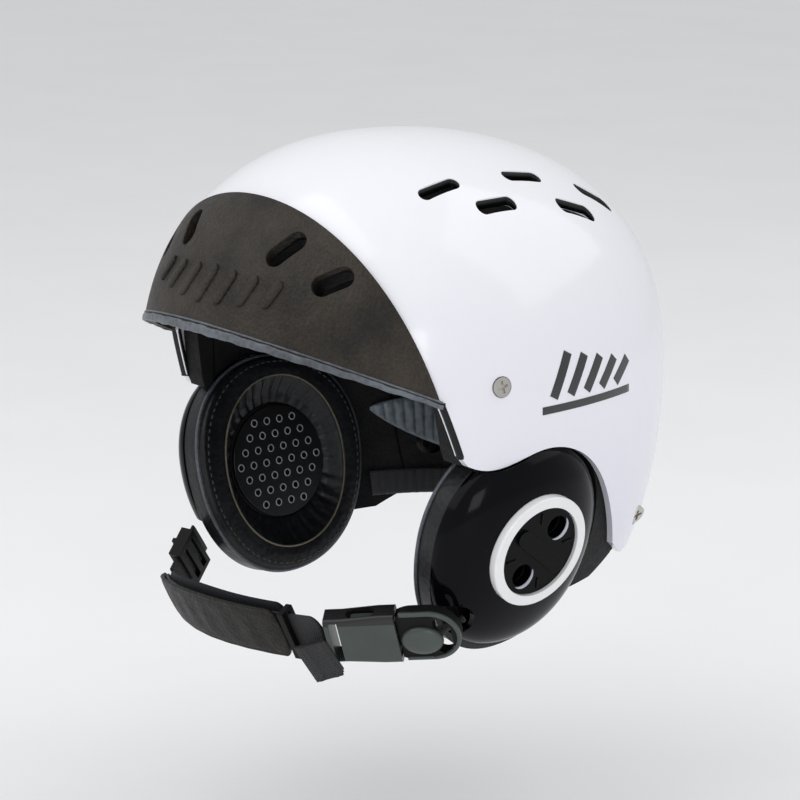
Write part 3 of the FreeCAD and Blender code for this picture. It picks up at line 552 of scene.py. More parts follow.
def knitted(name, dark, light, roughness, scale, depth, sheen=0.3, specular=0.3):
    """Knitted face cloth over foam: tight cells in the cloth's own scale, soft tone."""
    material, nodes, links, shader = new_material(name, light, roughness, 0, 0.3, sheen,
                                                  specular=specular)
    where = coordinates(nodes)
    loops = cells(nodes, links, where, scale, randomness=0.35)
    tone = noise(nodes, links, where, scale * 0.03, 5.0, 0.6)
    mixed = blend_values(nodes, links, "MULTIPLY", scaled(nodes, links, loops, 0.6, 1.2), tone)
    links.new(ramp(nodes, links, mixed, [(0.15, dark), (0.6, light)]), shader.inputs["Base Color"])
    raise_surface(nodes, links, shader, loops, depth)
    return material


def gel_coat():
    """Shell: glossy white with an orange-peel ripple, fine scuffs, and painted shade: a cooler,
    darker grey low down that lightens towards the top.
    """
    white = (0.86, 0.87, 0.90)
    material, nodes, links, shader = new_material("shell_gloss", white, 0.16, 0.35, 0.04)
    where = coordinates(nodes)
    height = nodes.new("ShaderNodeSeparateXYZ")
    links.new(where, height.inputs["Vector"])
    # Painted shade: colour set by height, darker and bluer low on the shell and lighter at the top,
    # mottled by noise.
    level = nodes.new("ShaderNodeMapRange")
    level.inputs["From Min"].default_value = -0.04
    level.inputs["From Max"].default_value = 0.13
    links.new(height.outputs["Z"], level.inputs["Value"])
    stain = noise(nodes, links, where, 14.0, 6.0, 0.7)
    mixed = blend_values(nodes, links, "MULTIPLY", level.outputs["Result"],
                         scaled(nodes, links, stain, 0.75, 1.1))
    # Painted shade runs from lavender grey at the bottom up to the shell's near-white.
    stops = [(0.0, (0.72, 0.72, 0.82)), (0.45, (0.82, 0.82, 0.88)), (1.0, (0.90, 0.90, 0.93))]
    links.new(ramp(nodes, links, mixed, stops), shader.inputs["Base Color"])
    scuffs = noise(nodes, links, where, 160.0, 8.0, 0.8)
    links.new(scaled(nodes, links, scuffs, 0.10, 0.26), shader.inputs["Roughness"])
    ripple = noise(nodes, links, where, 120.0, 2.0)
    raise_surface(nodes, links, shader, ripple, 0.00003)
    return material


MATTE_GREY = (0.040, 0.052, 0.046)
BUCKLE_GLOSS = (0.36, 0.1, 0.25)    # roughness, coat and mottle

FINISH = {
    "shell": gel_coat(),
    "graphic": moulded_plastic("graphic_black", (0.012, 0.012, 0.014), 0.22, 0.5),
    "peak": grained_skin("peak_rubber", (0.007, 0.0055, 0.004), (0.036, 0.028, 0.020), 0.5,
                         820.0, 0.00022, specular=0.28),
    "lip": grained_skin("peak_lip", (0.030, 0.034, 0.040), (0.12, 0.135, 0.155), 0.40,
                        420.0, 0.0003),
    "foam": grained_skin("liner_foam", (0.004, 0.004, 0.004), (0.016, 0.016, 0.017), 0.72,
                         900.0, 0.00015, specular=0.2),
    "comfort": knitted("comfort_fabric", (0.004, 0.004, 0.005), (0.022, 0.022, 0.025), 0.8,
                       1100.0, 0.0002),
    # Painted sheen: the nape fabric's pale grey-blue, lighter than the black lining around it,
    # stands for the pad's shine.
    "nape": grained_skin("nape_fabric", (0.035, 0.045, 0.056), (0.15, 0.19, 0.225), 0.26,
                         300.0, 0.00010, coat=0.35),
    "elastic": woven("gathered_elastic", (0.003, 0.003, 0.004), (0.035, 0.037, 0.042), 0.5, 0.0008),
    "steel": moulded_plastic("screw_steel", (0.55, 0.53, 0.49), 0.28, 0, 0.1, 1500.0),
    "pod": moulded_plastic("pod_gloss_black", (0.0015, 0.0015, 0.003), 0.14, 0.03, 0.2, 500.0,
                           0.00001, specular=0.09),
    "black": moulded_plastic("matte_black_plastic", (0.004, 0.004, 0.0045), 0.45, specular=0.14),
    "ring": moulded_plastic("ring_white", (0.84, 0.84, 0.85), 0.24, 0.3, 0.04, 600.0, 0.00002),
    "pad": grained_skin("ear_pad_leather", (0.002, 0.002, 0.0025), (0.012, 0.013, 0.015), 0.36,
                        420.0, 0.00014, coat=0.06, specular=0.28),
    # Painted highlight: the piping's lighter blue-grey stands for the highlight line along the ear
    # pad's crown.
    "piping": grained_skin("ear_pad_piping_painted_highlight", (0.030, 0.035, 0.042), (0.095, 0.108, 0.125), 0.35,
                           600.0, 0.0001),
    "thread": woven("seam_thread", (0.02, 0.02, 0.02), (0.10, 0.10, 0.10), 0.6, 0.0004),
    "grille": moulded_plastic("grille_black", (0.008, 0.008, 0.009), 0.30),
    "vent_foam": grained_skin("vent_foam", (0.002, 0.002, 0.002), (0.012, 0.012, 0.012), 0.9,
                              700.0, 0.0002),
    "webbing": woven("webbing", (0.002, 0.002, 0.0025), (0.015, 0.016, 0.018), 0.55, sheen=0.05),
    # Painted glint: light grey on the rings round the grille's holes, standing for the glints
    # there.
    "painted_glint_ring": moulded_plastic("painted_glint_ring_grey", (0.30, 0.32, 0.34), 0.3, 0.2),
    # Black for the temple edging, and painted shade on the crown vents' sleeves.
    "trim_and_painted_vent_shade": moulded_plastic("trim_and_painted_vent_shade_black", (0.004, 0.004, 0.005), 0.42, specular=0.3),
    "beige": grained_skin("dish_piping", (0.05, 0.044, 0.032), (0.16, 0.14, 0.10), 0.4,
                          600.0, 0.0001),
    "dial": moulded_plastic("dial_black", (0.002, 0.002, 0.0025), 0.30, 0.0, specular=0.08),
    # Painted highlight: light grey for the crescents on one side of the dial's ports.
    "rim": moulded_plastic("port_painted_highlight_grey", (0.42, 0.45, 0.50), 0.22, 0.3),
    "seal": moulded_plastic("seal_rubber", (0.01, 0.01, 0.01), 0.6),
    "buckle": moulded_plastic("buckle_grey", MATTE_GREY, *BUCKLE_GLOSS),
    "neoprene": knitted("neoprene", (0.0015, 0.0018, 0.003), (0.007, 0.008, 0.013), 0.7,
                        1300.0, 0.00018, sheen=0.04, specular=0.15),
    "flap": grained_skin("chin_leather", (0.003, 0.0026, 0.002), (0.014, 0.012, 0.010), 0.5,
                         620.0, 0.00022, specular=0.2),
}
FINISH["steel"].node_tree.nodes["Principled BSDF"].inputs["Metallic"].default_value = 1.0


# ---- Padding -----------------------------------------------------------------------------

def swell(piece, cap, pinned=None, pressure=4.0):
    """Blow the piece up a little as cloth over foam, then hold every point within cap of
    where it was. pinned is a group of points that stay, such as a glued back."""
    rest = np.empty(len(piece.data.vertices) * 3)
    piece.data.vertices.foreach_get("co", rest)
    cloth = piece.modifiers.new("cloth", "CLOTH")
    cloth.settings.quality = 4
    cloth.settings.mass = 0.2
    cloth.settings.use_pressure = True
    cloth.settings.uniform_pressure_force = pressure
    cloth.settings.effector_weights.gravity = 0.0
    cloth.settings.tension_stiffness = 12
    cloth.settings.compression_stiffness = 12
    cloth.settings.bending_stiffness = 0.4
    if pinned:
        cloth.settings.vertex_group_mass = pinned
    cloth.point_cache.frame_start = 1
    cloth.point_cache.frame_end = CLOTH_FRAMES
    scene = bpy.context.scene
    for step in range(1, CLOTH_FRAMES + 1):
        scene.frame_set(step)
    ready = piece.evaluated_get(bpy.context.evaluated_depsgraph_get())
    moved = np.empty(len(rest))
    ready.data.vertices.foreach_get("co", moved)
    piece.modifiers.remove(cloth)
    scene.frame_set(1)
    shift = (moved - rest).reshape(-1, 3)
    length = np.linalg.norm(shift, axis=1, keepdims=True)
    shift *= np.minimum(1.0, cap / np.maximum(length, 1e-9))
    piece.data.vertices.foreach_set("co", (rest.reshape(-1, 3) + shift).ravel())
    piece.data.update()


def pin_group(piece, share):
    """Vertex group with one weight per point, from a whole array."""
    group = piece.vertex_groups.new(name="held")
    for weight in (0.5, 1.0):
        picked = np.flatnonzero(np.abs(share - weight) < 0.25).tolist()
        group.add(picked, weight, "REPLACE")
    return group.name


def finished(piece, body, nodes=()):
    """Rides on its body and stands for its CAD nodes, which it hides."""
    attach(piece, body)
    if nodes:
        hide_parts(*nodes)
    return piece


# ---- Ear pads ----------------------------------------------------------------------------

def ear_pad(side):
    """Leather ring round the ear. Turn goes round the oval, and a closed profile goes
    from the glued back up the outer wall, over the crown, down the dish's slope to the
    grille's edge and back underneath. Pleats are sines of the turn that fade from the
    grille to the crown and are deepest at the top, where the leather is gathered."""
    turns, steps = 264, 66
    turn = np.linspace(0, 4, turns, endpoint=False)[:, None]
    b = np.linspace(0, 1, steps, endpoint=False)[None, :]
    (outer_x, outer_y), (dish_x, dish_y) = pad_outlines(turn)
    angle = np.arctan2(dish_y, dish_x)
    hole_x, hole_y = GRILLE_RADIUS * np.cos(angle), GRILLE_RADIUS * np.sin(angle)
    stations = [0.0, 0.12, 0.24, 0.34, 0.46, 0.56, 0.70, 0.78, 0.86, 1.0]
    places = [0.0, 0.0, 0.02, 0.14, 0.55, 0.93, 1.55, 1.98, 1.98, 0.0]
    heights = [0.02, 0.50, 0.84, 0.985, 1.0, 0.93, 0.50, 0.36, 0.02, 0.02]
    place = smooth_through(b, stations, places)
    height = smooth_through(b, stations, heights)
    share = np.clip(place, 0, 1)
    inner = np.clip(place - 1, 0, 1)
    mid_x, mid_y = DISH_MIDDLE[0] + dish_x, DISH_MIDDLE[1] + dish_y
    x = outer_x * (1 - share) + mid_x * share + (DISH_MIDDLE[0] + hole_x - mid_x) * inner
    y = outer_y * (1 - share) + mid_y * share + (DISH_MIDDLE[1] + hole_y - mid_y) * inner
    gather = 0.35 + 0.65 * bump(turn, 1.25, 0.75)
    ripple = turn * np.pi / 2 * PLEATS
    wave = np.sin(ripple) + 0.45 * np.sin(ripple * 1.62 + 1.1)
    slope = bump(b, 0.66, 0.09)
    crease = bump(b, 0.30, 0.022)
    deep = -PAD_WALL * height + 0.6 * MM * gather * wave * slope + 0.7 * MM * crease
    x, y, deep = np.broadcast_arrays(x, y, deep)
    corners = in_pod(np.stack([x, y, deep], axis=-1), side)
    faces = grid_faces(turns, steps, True, True)
    run = np.broadcast_to(turn * 0.07, x.shape)
    uv = np.stack([run, np.broadcast_to(b * 0.1, x.shape)], axis=-1)
    hand = hand_name(side)
    piece = mesh_piece("ear_pad_leather_" + hand, corners, faces, uv, FINISH["pad"])
    held = np.where((b < 0.13) | (b > 0.80), 1.0, 0.0)
    held = np.broadcast_to(held, x.shape).ravel()
    swell(piece, 1.6 * MM, pin_group(piece, held))
    finished(piece, "helmet", ["ear_pad_" + hand])


def smooth_through(b, stations, values):
    """Values between stations joined by eased steps, half straight and half smooth."""
    plain = np.interp(b, stations, values)
    index = np.clip(np.searchsorted(stations, b, side="right") - 1, 0, len(stations) - 2)
    low, high = np.array(stations)[index], np.array(stations)[index + 1]
    t = ease((b - low) / (high - low))
    eased = np.array(values)[index] * (1 - t) + np.array(values)[index + 1] * t
    return 0.6 * plain + 0.4 * eased


def pad_line(name, side, share, rise, thickness, material):
    """Round piping along a line of the pad."""
    centre = pad_path(np.linspace(0, 4, 240, endpoint=False), share, rise)
    along = unit(np.roll(centre, -1, axis=0) - np.roll(centre, 1, axis=0))
    level = np.array((0.0, 0.0, 1.0))
    outward = unit(np.cross(along, level))
    angle = np.linspace(0, 2 * np.pi, 10, endpoint=False)
    rings = (centre[:, None] + outward[:, None] * (np.cos(angle) * thickness / 2)[None, :, None]
             + level * (np.sin(angle) * thickness / 2)[None, :, None])
    faces = grid_faces(len(centre), len(angle), True, True)
    piece = mesh_piece(name, in_pod(rings, side), faces, None, material)
    finished(piece, "helmet", ())


def stitches(name, side, share, rise, pitch, material):
    """Short raised stitches along a line of the pad, a few millimetres apart."""
    line = pad_path(np.linspace(0, 4, 1600), share, rise)
    run = np.concatenate([[0], np.cumsum(np.linalg.norm(np.diff(line, axis=0), axis=1))])
    starts = np.arange(0, run[-1] - pitch / 2, pitch)
    t = np.linspace(0, 1, 5)
    places = starts[:, None] + t[None, :] * pitch * 0.68
    centre = np.stack([np.interp(places, run, line[:, k]) for k in range(3)], axis=-1)
    centre[..., 2] -= 0.35 * MM * np.sin(np.pi * t)
    piece = thread_mesh(name, in_pod(centre, side), 0.32 * MM, material)
    finished(piece, "helmet", ())


def thread_mesh(name, lines, radius, material):
    """Many short threads at once: a hexagon carried along each line, ends drawn in."""
    along = unit(np.gradient(lines, axis=1))
    helper = np.array((0.31, 0.59, 0.74))
    first = unit(np.cross(along, helper))
    second = np.cross(along, first)
    angle = np.linspace(0, 2 * np.pi, 6, endpoint=False)
    size = radius * np.sqrt(np.clip(1 - np.linspace(-0.98, 0.98, lines.shape[1]) ** 2, 0, 1))
    size = size[None, :, None, None]
    rings = (lines[:, :, None] + first[:, :, None] * np.cos(angle)[None, None, :, None] * size
             + second[:, :, None] * np.sin(angle)[None, None, :, None] * size)
    count, steps, corners = rings.shape[:3]
    one = grid_faces(steps, corners, round_columns=True)
    shift = (np.arange(count) * steps * corners)[:, None, None]
    faces = (one[None] + shift).reshape(-1, 4)
    ends = np.arange(corners)
    caps = np.concatenate([ends[None, ::-1], (steps - 1) * corners + ends[None]])
    caps = (caps[None] + (np.arange(count) * steps * corners)[:, None, None]).reshape(-1, corners)
    mesh = bpy.data.meshes.new(name)
    mesh.from_pydata(rings.reshape(-1, 3).tolist(), [], faces.tolist() + caps.tolist())
    mesh.materials.append(material)
    mesh.polygons.foreach_set("use_smooth", [True] * len(mesh.polygons))
    piece = bpy.data.objects.new(name, mesh)
    bpy.context.scene.collection.objects.link(piece)
    turn_outward(mesh)
    return piece


def pod_disc(name, side, radius, low, high, middle, material):
    """Round pad with soft edges in a pod: a superellipse section turned about its axis."""
    angle = np.linspace(0, 2 * np.pi, 64, endpoint=False)[:, None]
    a = np.linspace(-np.pi / 2, np.pi / 2, 17)[None, :]
    reach = radius * np.cos(a).clip(0) ** 0.35
    level = (low + high) / 2 + (high - low) / 2 * np.sign(np.sin(a)) * np.abs(np.sin(a)) ** 0.5
    local = np.stack(np.broadcast_arrays(middle[0] + reach * np.cos(angle),
                                         middle[1] + reach * np.sin(angle), level), axis=-1)
    faces = grid_faces(64, 17, round_rows=True)
    piece = mesh_piece(name, in_pod(local, side), faces, None, material)
    finished(piece, "helmet", ())


def port_painted_highlight(name, body, side, middle, radius, start, end, level, width):
    """Thin raised rim along an arc in the plane of the dial, tapering to its ends; its light grey
    is painted highlight.
    """
    angle = np.radians(np.linspace(start, end, 36))
    local = np.stack([middle[0] + radius * np.cos(angle), middle[1] + radius * np.sin(angle),
                      np.full_like(angle, level)], axis=-1)
    outs = np.broadcast_to(pod_axes(side)[2], local.shape)
    widths = width * (0.15 + 0.85 * np.sin(np.linspace(0, np.pi, 36)))
    piece = band(name, in_pod(local, side), outs, widths, 0.7 * MM, FINISH["rim"], 2.5, 12)
    finished(piece, body, ())


def painted_glint_rings(side):
    """Small light grey rims round the grille's holes, set in the same rows, all in one mesh: a ring
    of a small section for every hole. Their grey is painted glint, standing for the bright glints
    at the holes."""
    level = -PAD_WALL + DISH_DEPTH - 2.05 * MM
    row_pitch = GRILLE_PITCH * math.sqrt(3) / 2
    rows = np.arange(-5, 6)
    columns = np.arange(-6, 7)
    row, column = np.meshgrid(rows, columns, indexing="ij")
    x = column * GRILLE_PITCH + np.where(row % 2 == 1, GRILLE_PITCH / 2, 0)
    y = row * row_pitch
    inside = np.hypot(x, y) < 21.3 * MM
    holes = np.stack([x[inside] + DISH_MIDDLE[0], y[inside] + DISH_MIDDLE[1]], axis=-1)
    turn = np.linspace(0, 2 * np.pi, 12, endpoint=False)
    round_section = np.linspace(0, 2 * np.pi, 6, endpoint=False)
    reach = 1.55 * MM + PAINTED_GLINT_RING_WIRE * np.cos(round_section)[None, :]
    rise = level + PAINTED_GLINT_RING_WIRE * np.sin(round_section)[None, :]
    ring = np.stack(np.broadcast_arrays(reach * np.cos(turn)[:, None],
                                        reach * np.sin(turn)[:, None], rise), axis=-1)
    places = np.concatenate([holes, np.zeros((len(holes), 1))], axis=1)
    rings = ring[None] + places[:, None, None]
    one = grid_faces(12, 6, True, True)
    faces = (one[None] + (np.arange(len(holes)) * 72)[:, None, None]).reshape(-1, 4)
    piece = mesh_piece("grille_painted_glint_rings_" + hand_name(side), in_pod(rings, side), faces, None,
                       FINISH["painted_glint_ring"])
    finished(piece, "helmet", ())


def temple_trim(side):
    """Black edging on the shell's front rim below the peak, over both faces of the wall."""
    z = np.linspace(57.5, 34.5, 24) * MM
    y = np.interp(z, [35.5 * MM, 56 * MM], [-40.2 * MM, -47 * MM]) + 0.9 * MM
    mid_wall = 1.5 * MM
    turn = turns_at(y, z, side, mid_wall, 1.0, 1.9, 500)
    dome_band("temple_edging_" + hand_name(side), turn, z, mid_wall, 0.0, 2.6 * MM, 3.9 * MM,
              FINISH["trim_and_painted_vent_shade"], 4.0, 20)


def dial_trim(side):
    """Light grey crescents beside the dial's ports, painted highlight on one side of each port, and
    ribs across its middle.
    """
    label = hand_name(side)
    body = "dial_" + label
    face = POD_DEPTH - RING_HEIGHT + 0.8 * MM + DIAL_WALL
    angle = math.radians(PORT_ANGLE)
    for k, sign in enumerate((1, -1)):
        middle = (sign * PORT_RADIUS * math.cos(angle), sign * PORT_RADIUS * math.sin(angle))
        turn = -35 - 15 * k
        port_painted_highlight("port_rim_%s_%d" % (label, k + 1), body, side, middle, PORT_HOLE / 2 + 0.6 * MM,
                 turn - 70, turn + 70, face + 0.3 * MM, 1.8 * MM)
    for k in range(12):
        turn = k * 30 + 15 + PORT_ANGLE
        if k in (2, 3, 8, 9):
            continue
        rib = math.radians(turn)
        run = np.linspace(12.5, 17.2, 9)[:, None] * MM
        local = np.concatenate([run * math.cos(rib), run * math.sin(rib),
                                np.full_like(run, face + 0.1 * MM)], axis=1)
        port = PORT_RADIUS * np.array((math.cos(angle), math.sin(angle)))
        if min(np.hypot(*(local[4, :2] - s * port)) for s in (1, -1)) < 7.5 * MM:
            continue
        outs = np.broadcast_to(pod_axes(side)[2], local.shape)
        piece = band("dial_rib_%s_%d" % (label, k + 1), in_pod(local, side), outs, 0.9 * MM,
                     0.9 * MM, FINISH["dial"], 2.5, 10)
        finished(piece, body, ())


# ---- Pads and elastic at the back and the brow -------------------------------------------

def dome_cushion(name, turns, low, high, inset, thickness, material, pleat, lens):
    """Closed cushion on the inside of the dome. s runs across from -1 to 1 and a closed
    profile angle runs round: height is the sine, swollen by the crown of cosine. lens
    narrows the ends: half height times (1 - s to the fourth) to the lens. The middle
    line rises with s squared, and creases are narrow powers of a cosine of s."""
    across, around = 401, 48
    s = np.linspace(-0.995, 0.995, across)[:, None]
    a = np.linspace(0, 2 * np.pi, around, endpoint=False)[None, :]
    half = (1 - s ** 4) ** lens
    square = np.sign(np.sin(a)) * np.abs(np.sin(a)) ** 0.6
    middle = low + 0.42 * (high - low) + 0.40 * (high - low) * s ** 2
    height = middle + (high - low) * 0.42 * square * half
    inward = 0.5 * thickness * (1 + np.sign(np.cos(a)) * np.abs(np.cos(a)) ** 0.7) * half
    creases = np.abs(np.cos(s * 74 + 0.5 * square)) ** 10 * (0.15 + 0.85 * np.abs(np.sin(s * 5.2)))
    folds = -pleat * np.cos(a).clip(0) * creases * half
    turn = s * turns + 0 * a
    skin = dome(turn, height, inset)
    corners = skin - dome_out(turn, height, inset) * (inward + folds)[..., None]
    uv = np.stack([s * 0.1 + 0 * a, a * 0.01 + 0 * s], axis=-1)
    uv = np.concatenate([uv[:1], uv, uv[-1:]])
    faces = grid_faces(across + 2, around, round_columns=True)
    return mesh_piece(name, close_ends(corners), faces, uv, material)


def nape_pad():
    """Lens-shaped shiny cushion against the back of the head."""
    piece = dome_cushion("nape_cushion", turn_at(50 * MM, -2 * MM, LINER_INSET), -19 * MM, 14 * MM,
                         LINER_INSET, 5.4 * MM, FINISH["nape"], 0.9 * MM, 0.8)
    swell(piece, 1.2 * MM, pressure=2.0)
    finished(piece, "helmet", ["nape_pad"])


def brow_pad():
    """Strip of knitted foam behind the peak. It runs round the front."""
    across, around = 141, 40
    reach = turn_at(-38 * MM, 78 * MM, LINER_INSET)
    s = np.linspace(-0.99, 0.99, across)[:, None]
    a = np.linspace(0, 2 * np.pi, around, endpoint=False)[None, :]
    turn = 2 - (2 - reach) * np.abs(s)
    turn = np.where(s < 0, -turn, turn) + 0 * a
    square = np.sign(np.sin(a)) * np.abs(np.sin(a)) ** 0.6
    low = 77.5 * MM - 12 * MM * ease(np.abs(s)) + 0 * a
    high = 95 * MM - 4 * MM * np.abs(s) ** 3 + 0 * a
    height = (high + low) / 2 + (high - low) / 2 * square * (1 - s ** 8) ** 0.5
    quilting = 1 - 0.35 * np.abs(np.cos(s * np.pi * 7)) ** 12
    inward = 2.6 * MM * (1 + np.cos(a)) * (1 - s ** 8) ** 0.5 * quilting
    skin = dome(turn, height, LINER_INSET)
    corners = skin - dome_out(turn, height, LINER_INSET) * inward[..., None]
    faces = grid_faces(across + 2, around, round_columns=True)
    piece = mesh_piece("brow_cushion", close_ends(corners), faces, None, FINISH["comfort"])
    swell(piece, 0.8 * MM, pressure=1.5)
    finished(piece, "helmet", ["brow_pad"])


def nape_elastic():
    """Band gathered on elastic: its face is a row of narrow upright folds."""
    top, width = -19.3 * MM, 11 * MM
    inset = LINER_INSET + 0.4 * MM
    reach = turn_at(46 * MM, top - width / 2, inset)
    s = np.linspace(-1, 1, 421)
    turn = s * reach
    level = np.full_like(turn, top - width / 2)
    folds = 0.45 * MM * np.sin(s * 145) * (0.7 + 0.3 * np.sin(s * 37))
    outs = dome_out(turn, level, inset)
    centres = dome(turn, level, inset) - outs * (1.2 * MM + folds)[:, None]
    piece = band("nape_gathered_band", centres, outs, width, 1.5 * MM, FINISH["elastic"], 4.0, 20)
    finished(piece, "helmet", ["nape_elastic"])


# ---- Trim of the peak and the shell ------------------------------------------------------

def peak_edge(turn):
    """Height of the peak's lower edge at each turn: the side view's straight line met by
    the proud dome, found by stepping to it a few times."""
    slope = (PEAK_EDGE[1] - TEMPLE[1]) / (TEMPLE[0] - PEAK_EDGE[0])
    height = np.full_like(turn, PEAK_EDGE[1])
    for _ in range(20):
        y = dome(turn, height, 0.0, PEAK_PROUD)[:, 1]
        height = TEMPLE[1] + (TEMPLE[0] - y) * slope
    return height


def temple_turn():
    """Turn at which the peak's lower edge reaches the temple."""
    turns = np.linspace(1.02, 2, 300)
    y = dome(turns, peak_edge(turns), 0.0, PEAK_PROUD)[:, 1]
    return float(np.interp(-TEMPLE[0], -y, turns))


def front_turns(reach, count):
    """Turns from the left temple round the front to the right one."""
    s = np.linspace(-1, 1, count)
    turn = 2 - (2 - reach) * np.abs(s)
    return s, np.where(s < 0, turn, -turn)


def peak_lip():
    """Pale strip along the peak's lower edge, tallest at the front, with a raised line
    along its top."""
    s, turn = front_turns(temple_turn(), 241)
    low = peak_edge(turn)
    tall = LIP_HEIGHT * (1 - 0.52 * np.abs(s) ** 1.6)
    wander = 0.25 * MM * np.sin(s * 21) * np.sin(s * 57 + 1)
    level = low + tall / 2 - 0.6 * MM + wander
    dome_band("peak_lip_strip", turn, level, 0.0, 0.15 * MM, tall, LIP_WALL, FINISH["lip"],
              4.0, 24, PEAK_PROUD)
    dome_band("peak_lip_bead", turn, low + tall + 0.2 * MM, 0.0, 0.0, 0.9 * MM, 1.1 * MM,
              FINISH["lip"], 2.0, 12, PEAK_PROUD)


def peak_bars():
    """Plain raised ornament at the middle of the peak: a row of slanted rounded bars."""
    for k in range(-3, 4):
        t = np.linspace(-1, 1, 15)
        tall = 15 * MM - 1.6 * MM * abs(k)
        level = 97.5 * MM + t * tall / 2
        aside = BAR_PITCH * k + BAR_SLANT * t
        turn = np.where(aside < 0, -1, 1) * (2 - np.abs(aside))
        widths = 4.6 * MM * np.sqrt(np.clip(1.04 - t ** 6, 0.02, 1))
        dome_band("peak_bar_%d" % (k + 4), turn, level, 0.0, 0.1 * MM, widths, 2.0 * MM,
                  FINISH["peak"], 3.0, 20, PEAK_PROUD)


def side_graphic(side):
    """Plain graphic on the shell's side: slanted straight bars in a row, each shorter
    than the one ahead of it, over one long level bar."""
    strokes = [((2 + 9.5 * k, 54), (11 + 9.5 * k, 71 - 2.2 * k), 4.6) for k in range(5)]
    strokes.append(((-4, 49.5), (50, 49.5), 3.2))
    for k, (start, end, width) in enumerate(strokes):
        t = np.linspace(0, 1, 40)
        y = (start[0] + (end[0] - start[0]) * t) * MM
        level = (start[1] + (end[1] - start[1]) * t) * MM
        turn = turns_at(y, level, side, 0.0, 0.2, 1.6, 600)
        dome_band("side_bar_%s_%d" % (hand_name(side), k + 1), turn, level, 0.0, 0.02 * MM,
                  width * MM, 0.3 * MM, FINISH["graphic"], 8.0, 20)


# ---- Straps ------------------------------------------------------------------------------

def crown_height(x, y):
    """Height of the dome's top over a point: the plan's conic gives the level, as the
    root of a quadratic in one over the level, and the side conic gives the height."""
    rear = y > 0
    length = np.where(rear, DOME_REAR, DOME_FRONT)
    fullness = np.where(rear, PLAN_REAR_FULLNESS, PLAN_FRONT_FULLNESS)
    p, q = np.abs(x) / DOME_HALF_WIDTH, np.abs(y) / length
    pull = 4 * fullness ** 2
    a = (p + q) ** 2 - pull * p * q
    b = (pull - 2) * (p + q)
    c = 1 - pull
    level = 2 * a / (-b + np.sqrt(b * b - 4 * a * c))
    return DOME_CENTRE_Z + DOME_TOP * conic_across(np.clip(level, 0, 1), TOP_FULLNESS)


def vent_painted_shade_sleeves():
    """Thin black sleeves in the crown vents, painted shade on the slots' walls: a pill outline
    carried down through the shell's wall, just inside the slot."""
    turn = np.linspace(0, 2 * np.pi, 48, endpoint=False)
    places = [(54, y) for y in (-19, 25, 65)] + [(67, y) for y in (0, 43)]
    for k, (x_middle, y_middle) in enumerate(places):
        for side in (1, -1):
            rings = []
            for radius in (2.98 * MM, 2.75 * MM):
                x = side * x_middle * MM + radius * np.cos(turn)
                y = y_middle * MM + radius * np.sin(turn) + np.sign(np.sin(turn)) * 7 * MM
                top = crown_height(x, y)
                levels = (top - 0.35 * MM, top - 3.6 * MM)
                rings += [np.stack([x, y, level], axis=-1) for level in levels]
            order = [rings[0], rings[1], rings[3], rings[2]]
            name = "vent_sleeve_%s_%d" % (hand_name(side), k + 1)
            # Black sleeve: painted shade in the vent.
            piece = mesh_piece(name, np.stack(order), grid_faces(4, 48, True, True), None,
                               FINISH["trim_and_painted_vent_shade"])
            finished(piece, "helmet", ())


def strap_band(name, start, end, offset, width, wall, material, relief=None, squareness=5.0):
    """Band along the chin strap's route, narrow and rounded at its right-hand tip."""
    share = np.linspace(0, 1, 120)
    angles = np.linspace(start, end, len(share))
    outs = strap_out(angles)
    centres = strap_point(angles) + outs * offset
    widths = TIP_WIDTH + (width - TIP_WIDTH) * np.sin(np.minimum(1, share * 1.6) * np.pi / 2)
    ends = np.clip(np.minimum(share, 1 - share) / 0.035, 0.0, 1.0)
    widths = widths * np.sqrt(1 - 0.8 * (1 - ends) ** 2)
    return band(name, centres, outs, widths, wall, material, squareness, 36, relief)


def chin_pads():
    """Neoprene pad on the chin's side, crowned, and the leathery cover on the outside."""
    upper = strap_band("chin_pad_neoprene", -60, 20, -3.1 * MM, 2 * PAD_HALF_WIDTH, 4.6 * MM,
                       FINISH["neoprene"], squareness=2.8)
    swell(upper, 0.8 * MM, pressure=1.5)
    finished(upper, "chin_strap", ["chin_pad_upper"])

    def ripple(along, across):
        edge = 0.35 * MM * bump(np.abs(across), 0.88, 0.05)
        return 0.25 * MM * np.sin(along * 420) * np.cos(across * 2) - edge
    lower = strap_band("chin_pad_cover", -64, 20, 2.1 * MM, 2 * PAD_HALF_WIDTH, 2.2 * MM,
                       FINISH["flap"], relief=ripple)
    finished(lower, "chin_strap", ["chin_pad_lower"])


def chin_web():
    """Webbing between the pads, from the tip to the buckle."""
    piece = strap_band("chin_webbing", -60, BUCKLE_START - 1.5, 0.0, WEB_WIDTH, WEB_WALL,
                       FINISH["webbing"])
    finished(piece, "chin_strap", ["chin_web"])


def buckle_line():
    """Start of the buckle, and the direction in which it points."""
    start = strap_point(np.array(BUCKLE_START))
    aim = ANCHOR + np.array((9.0, 0.0, 1.0)) * MM
    along = unit(aim - start)
    out = strap_out(np.array((BUCKLE_START + 90) / 2))
    return start, along, unit(out - along * np.dot(out, along))


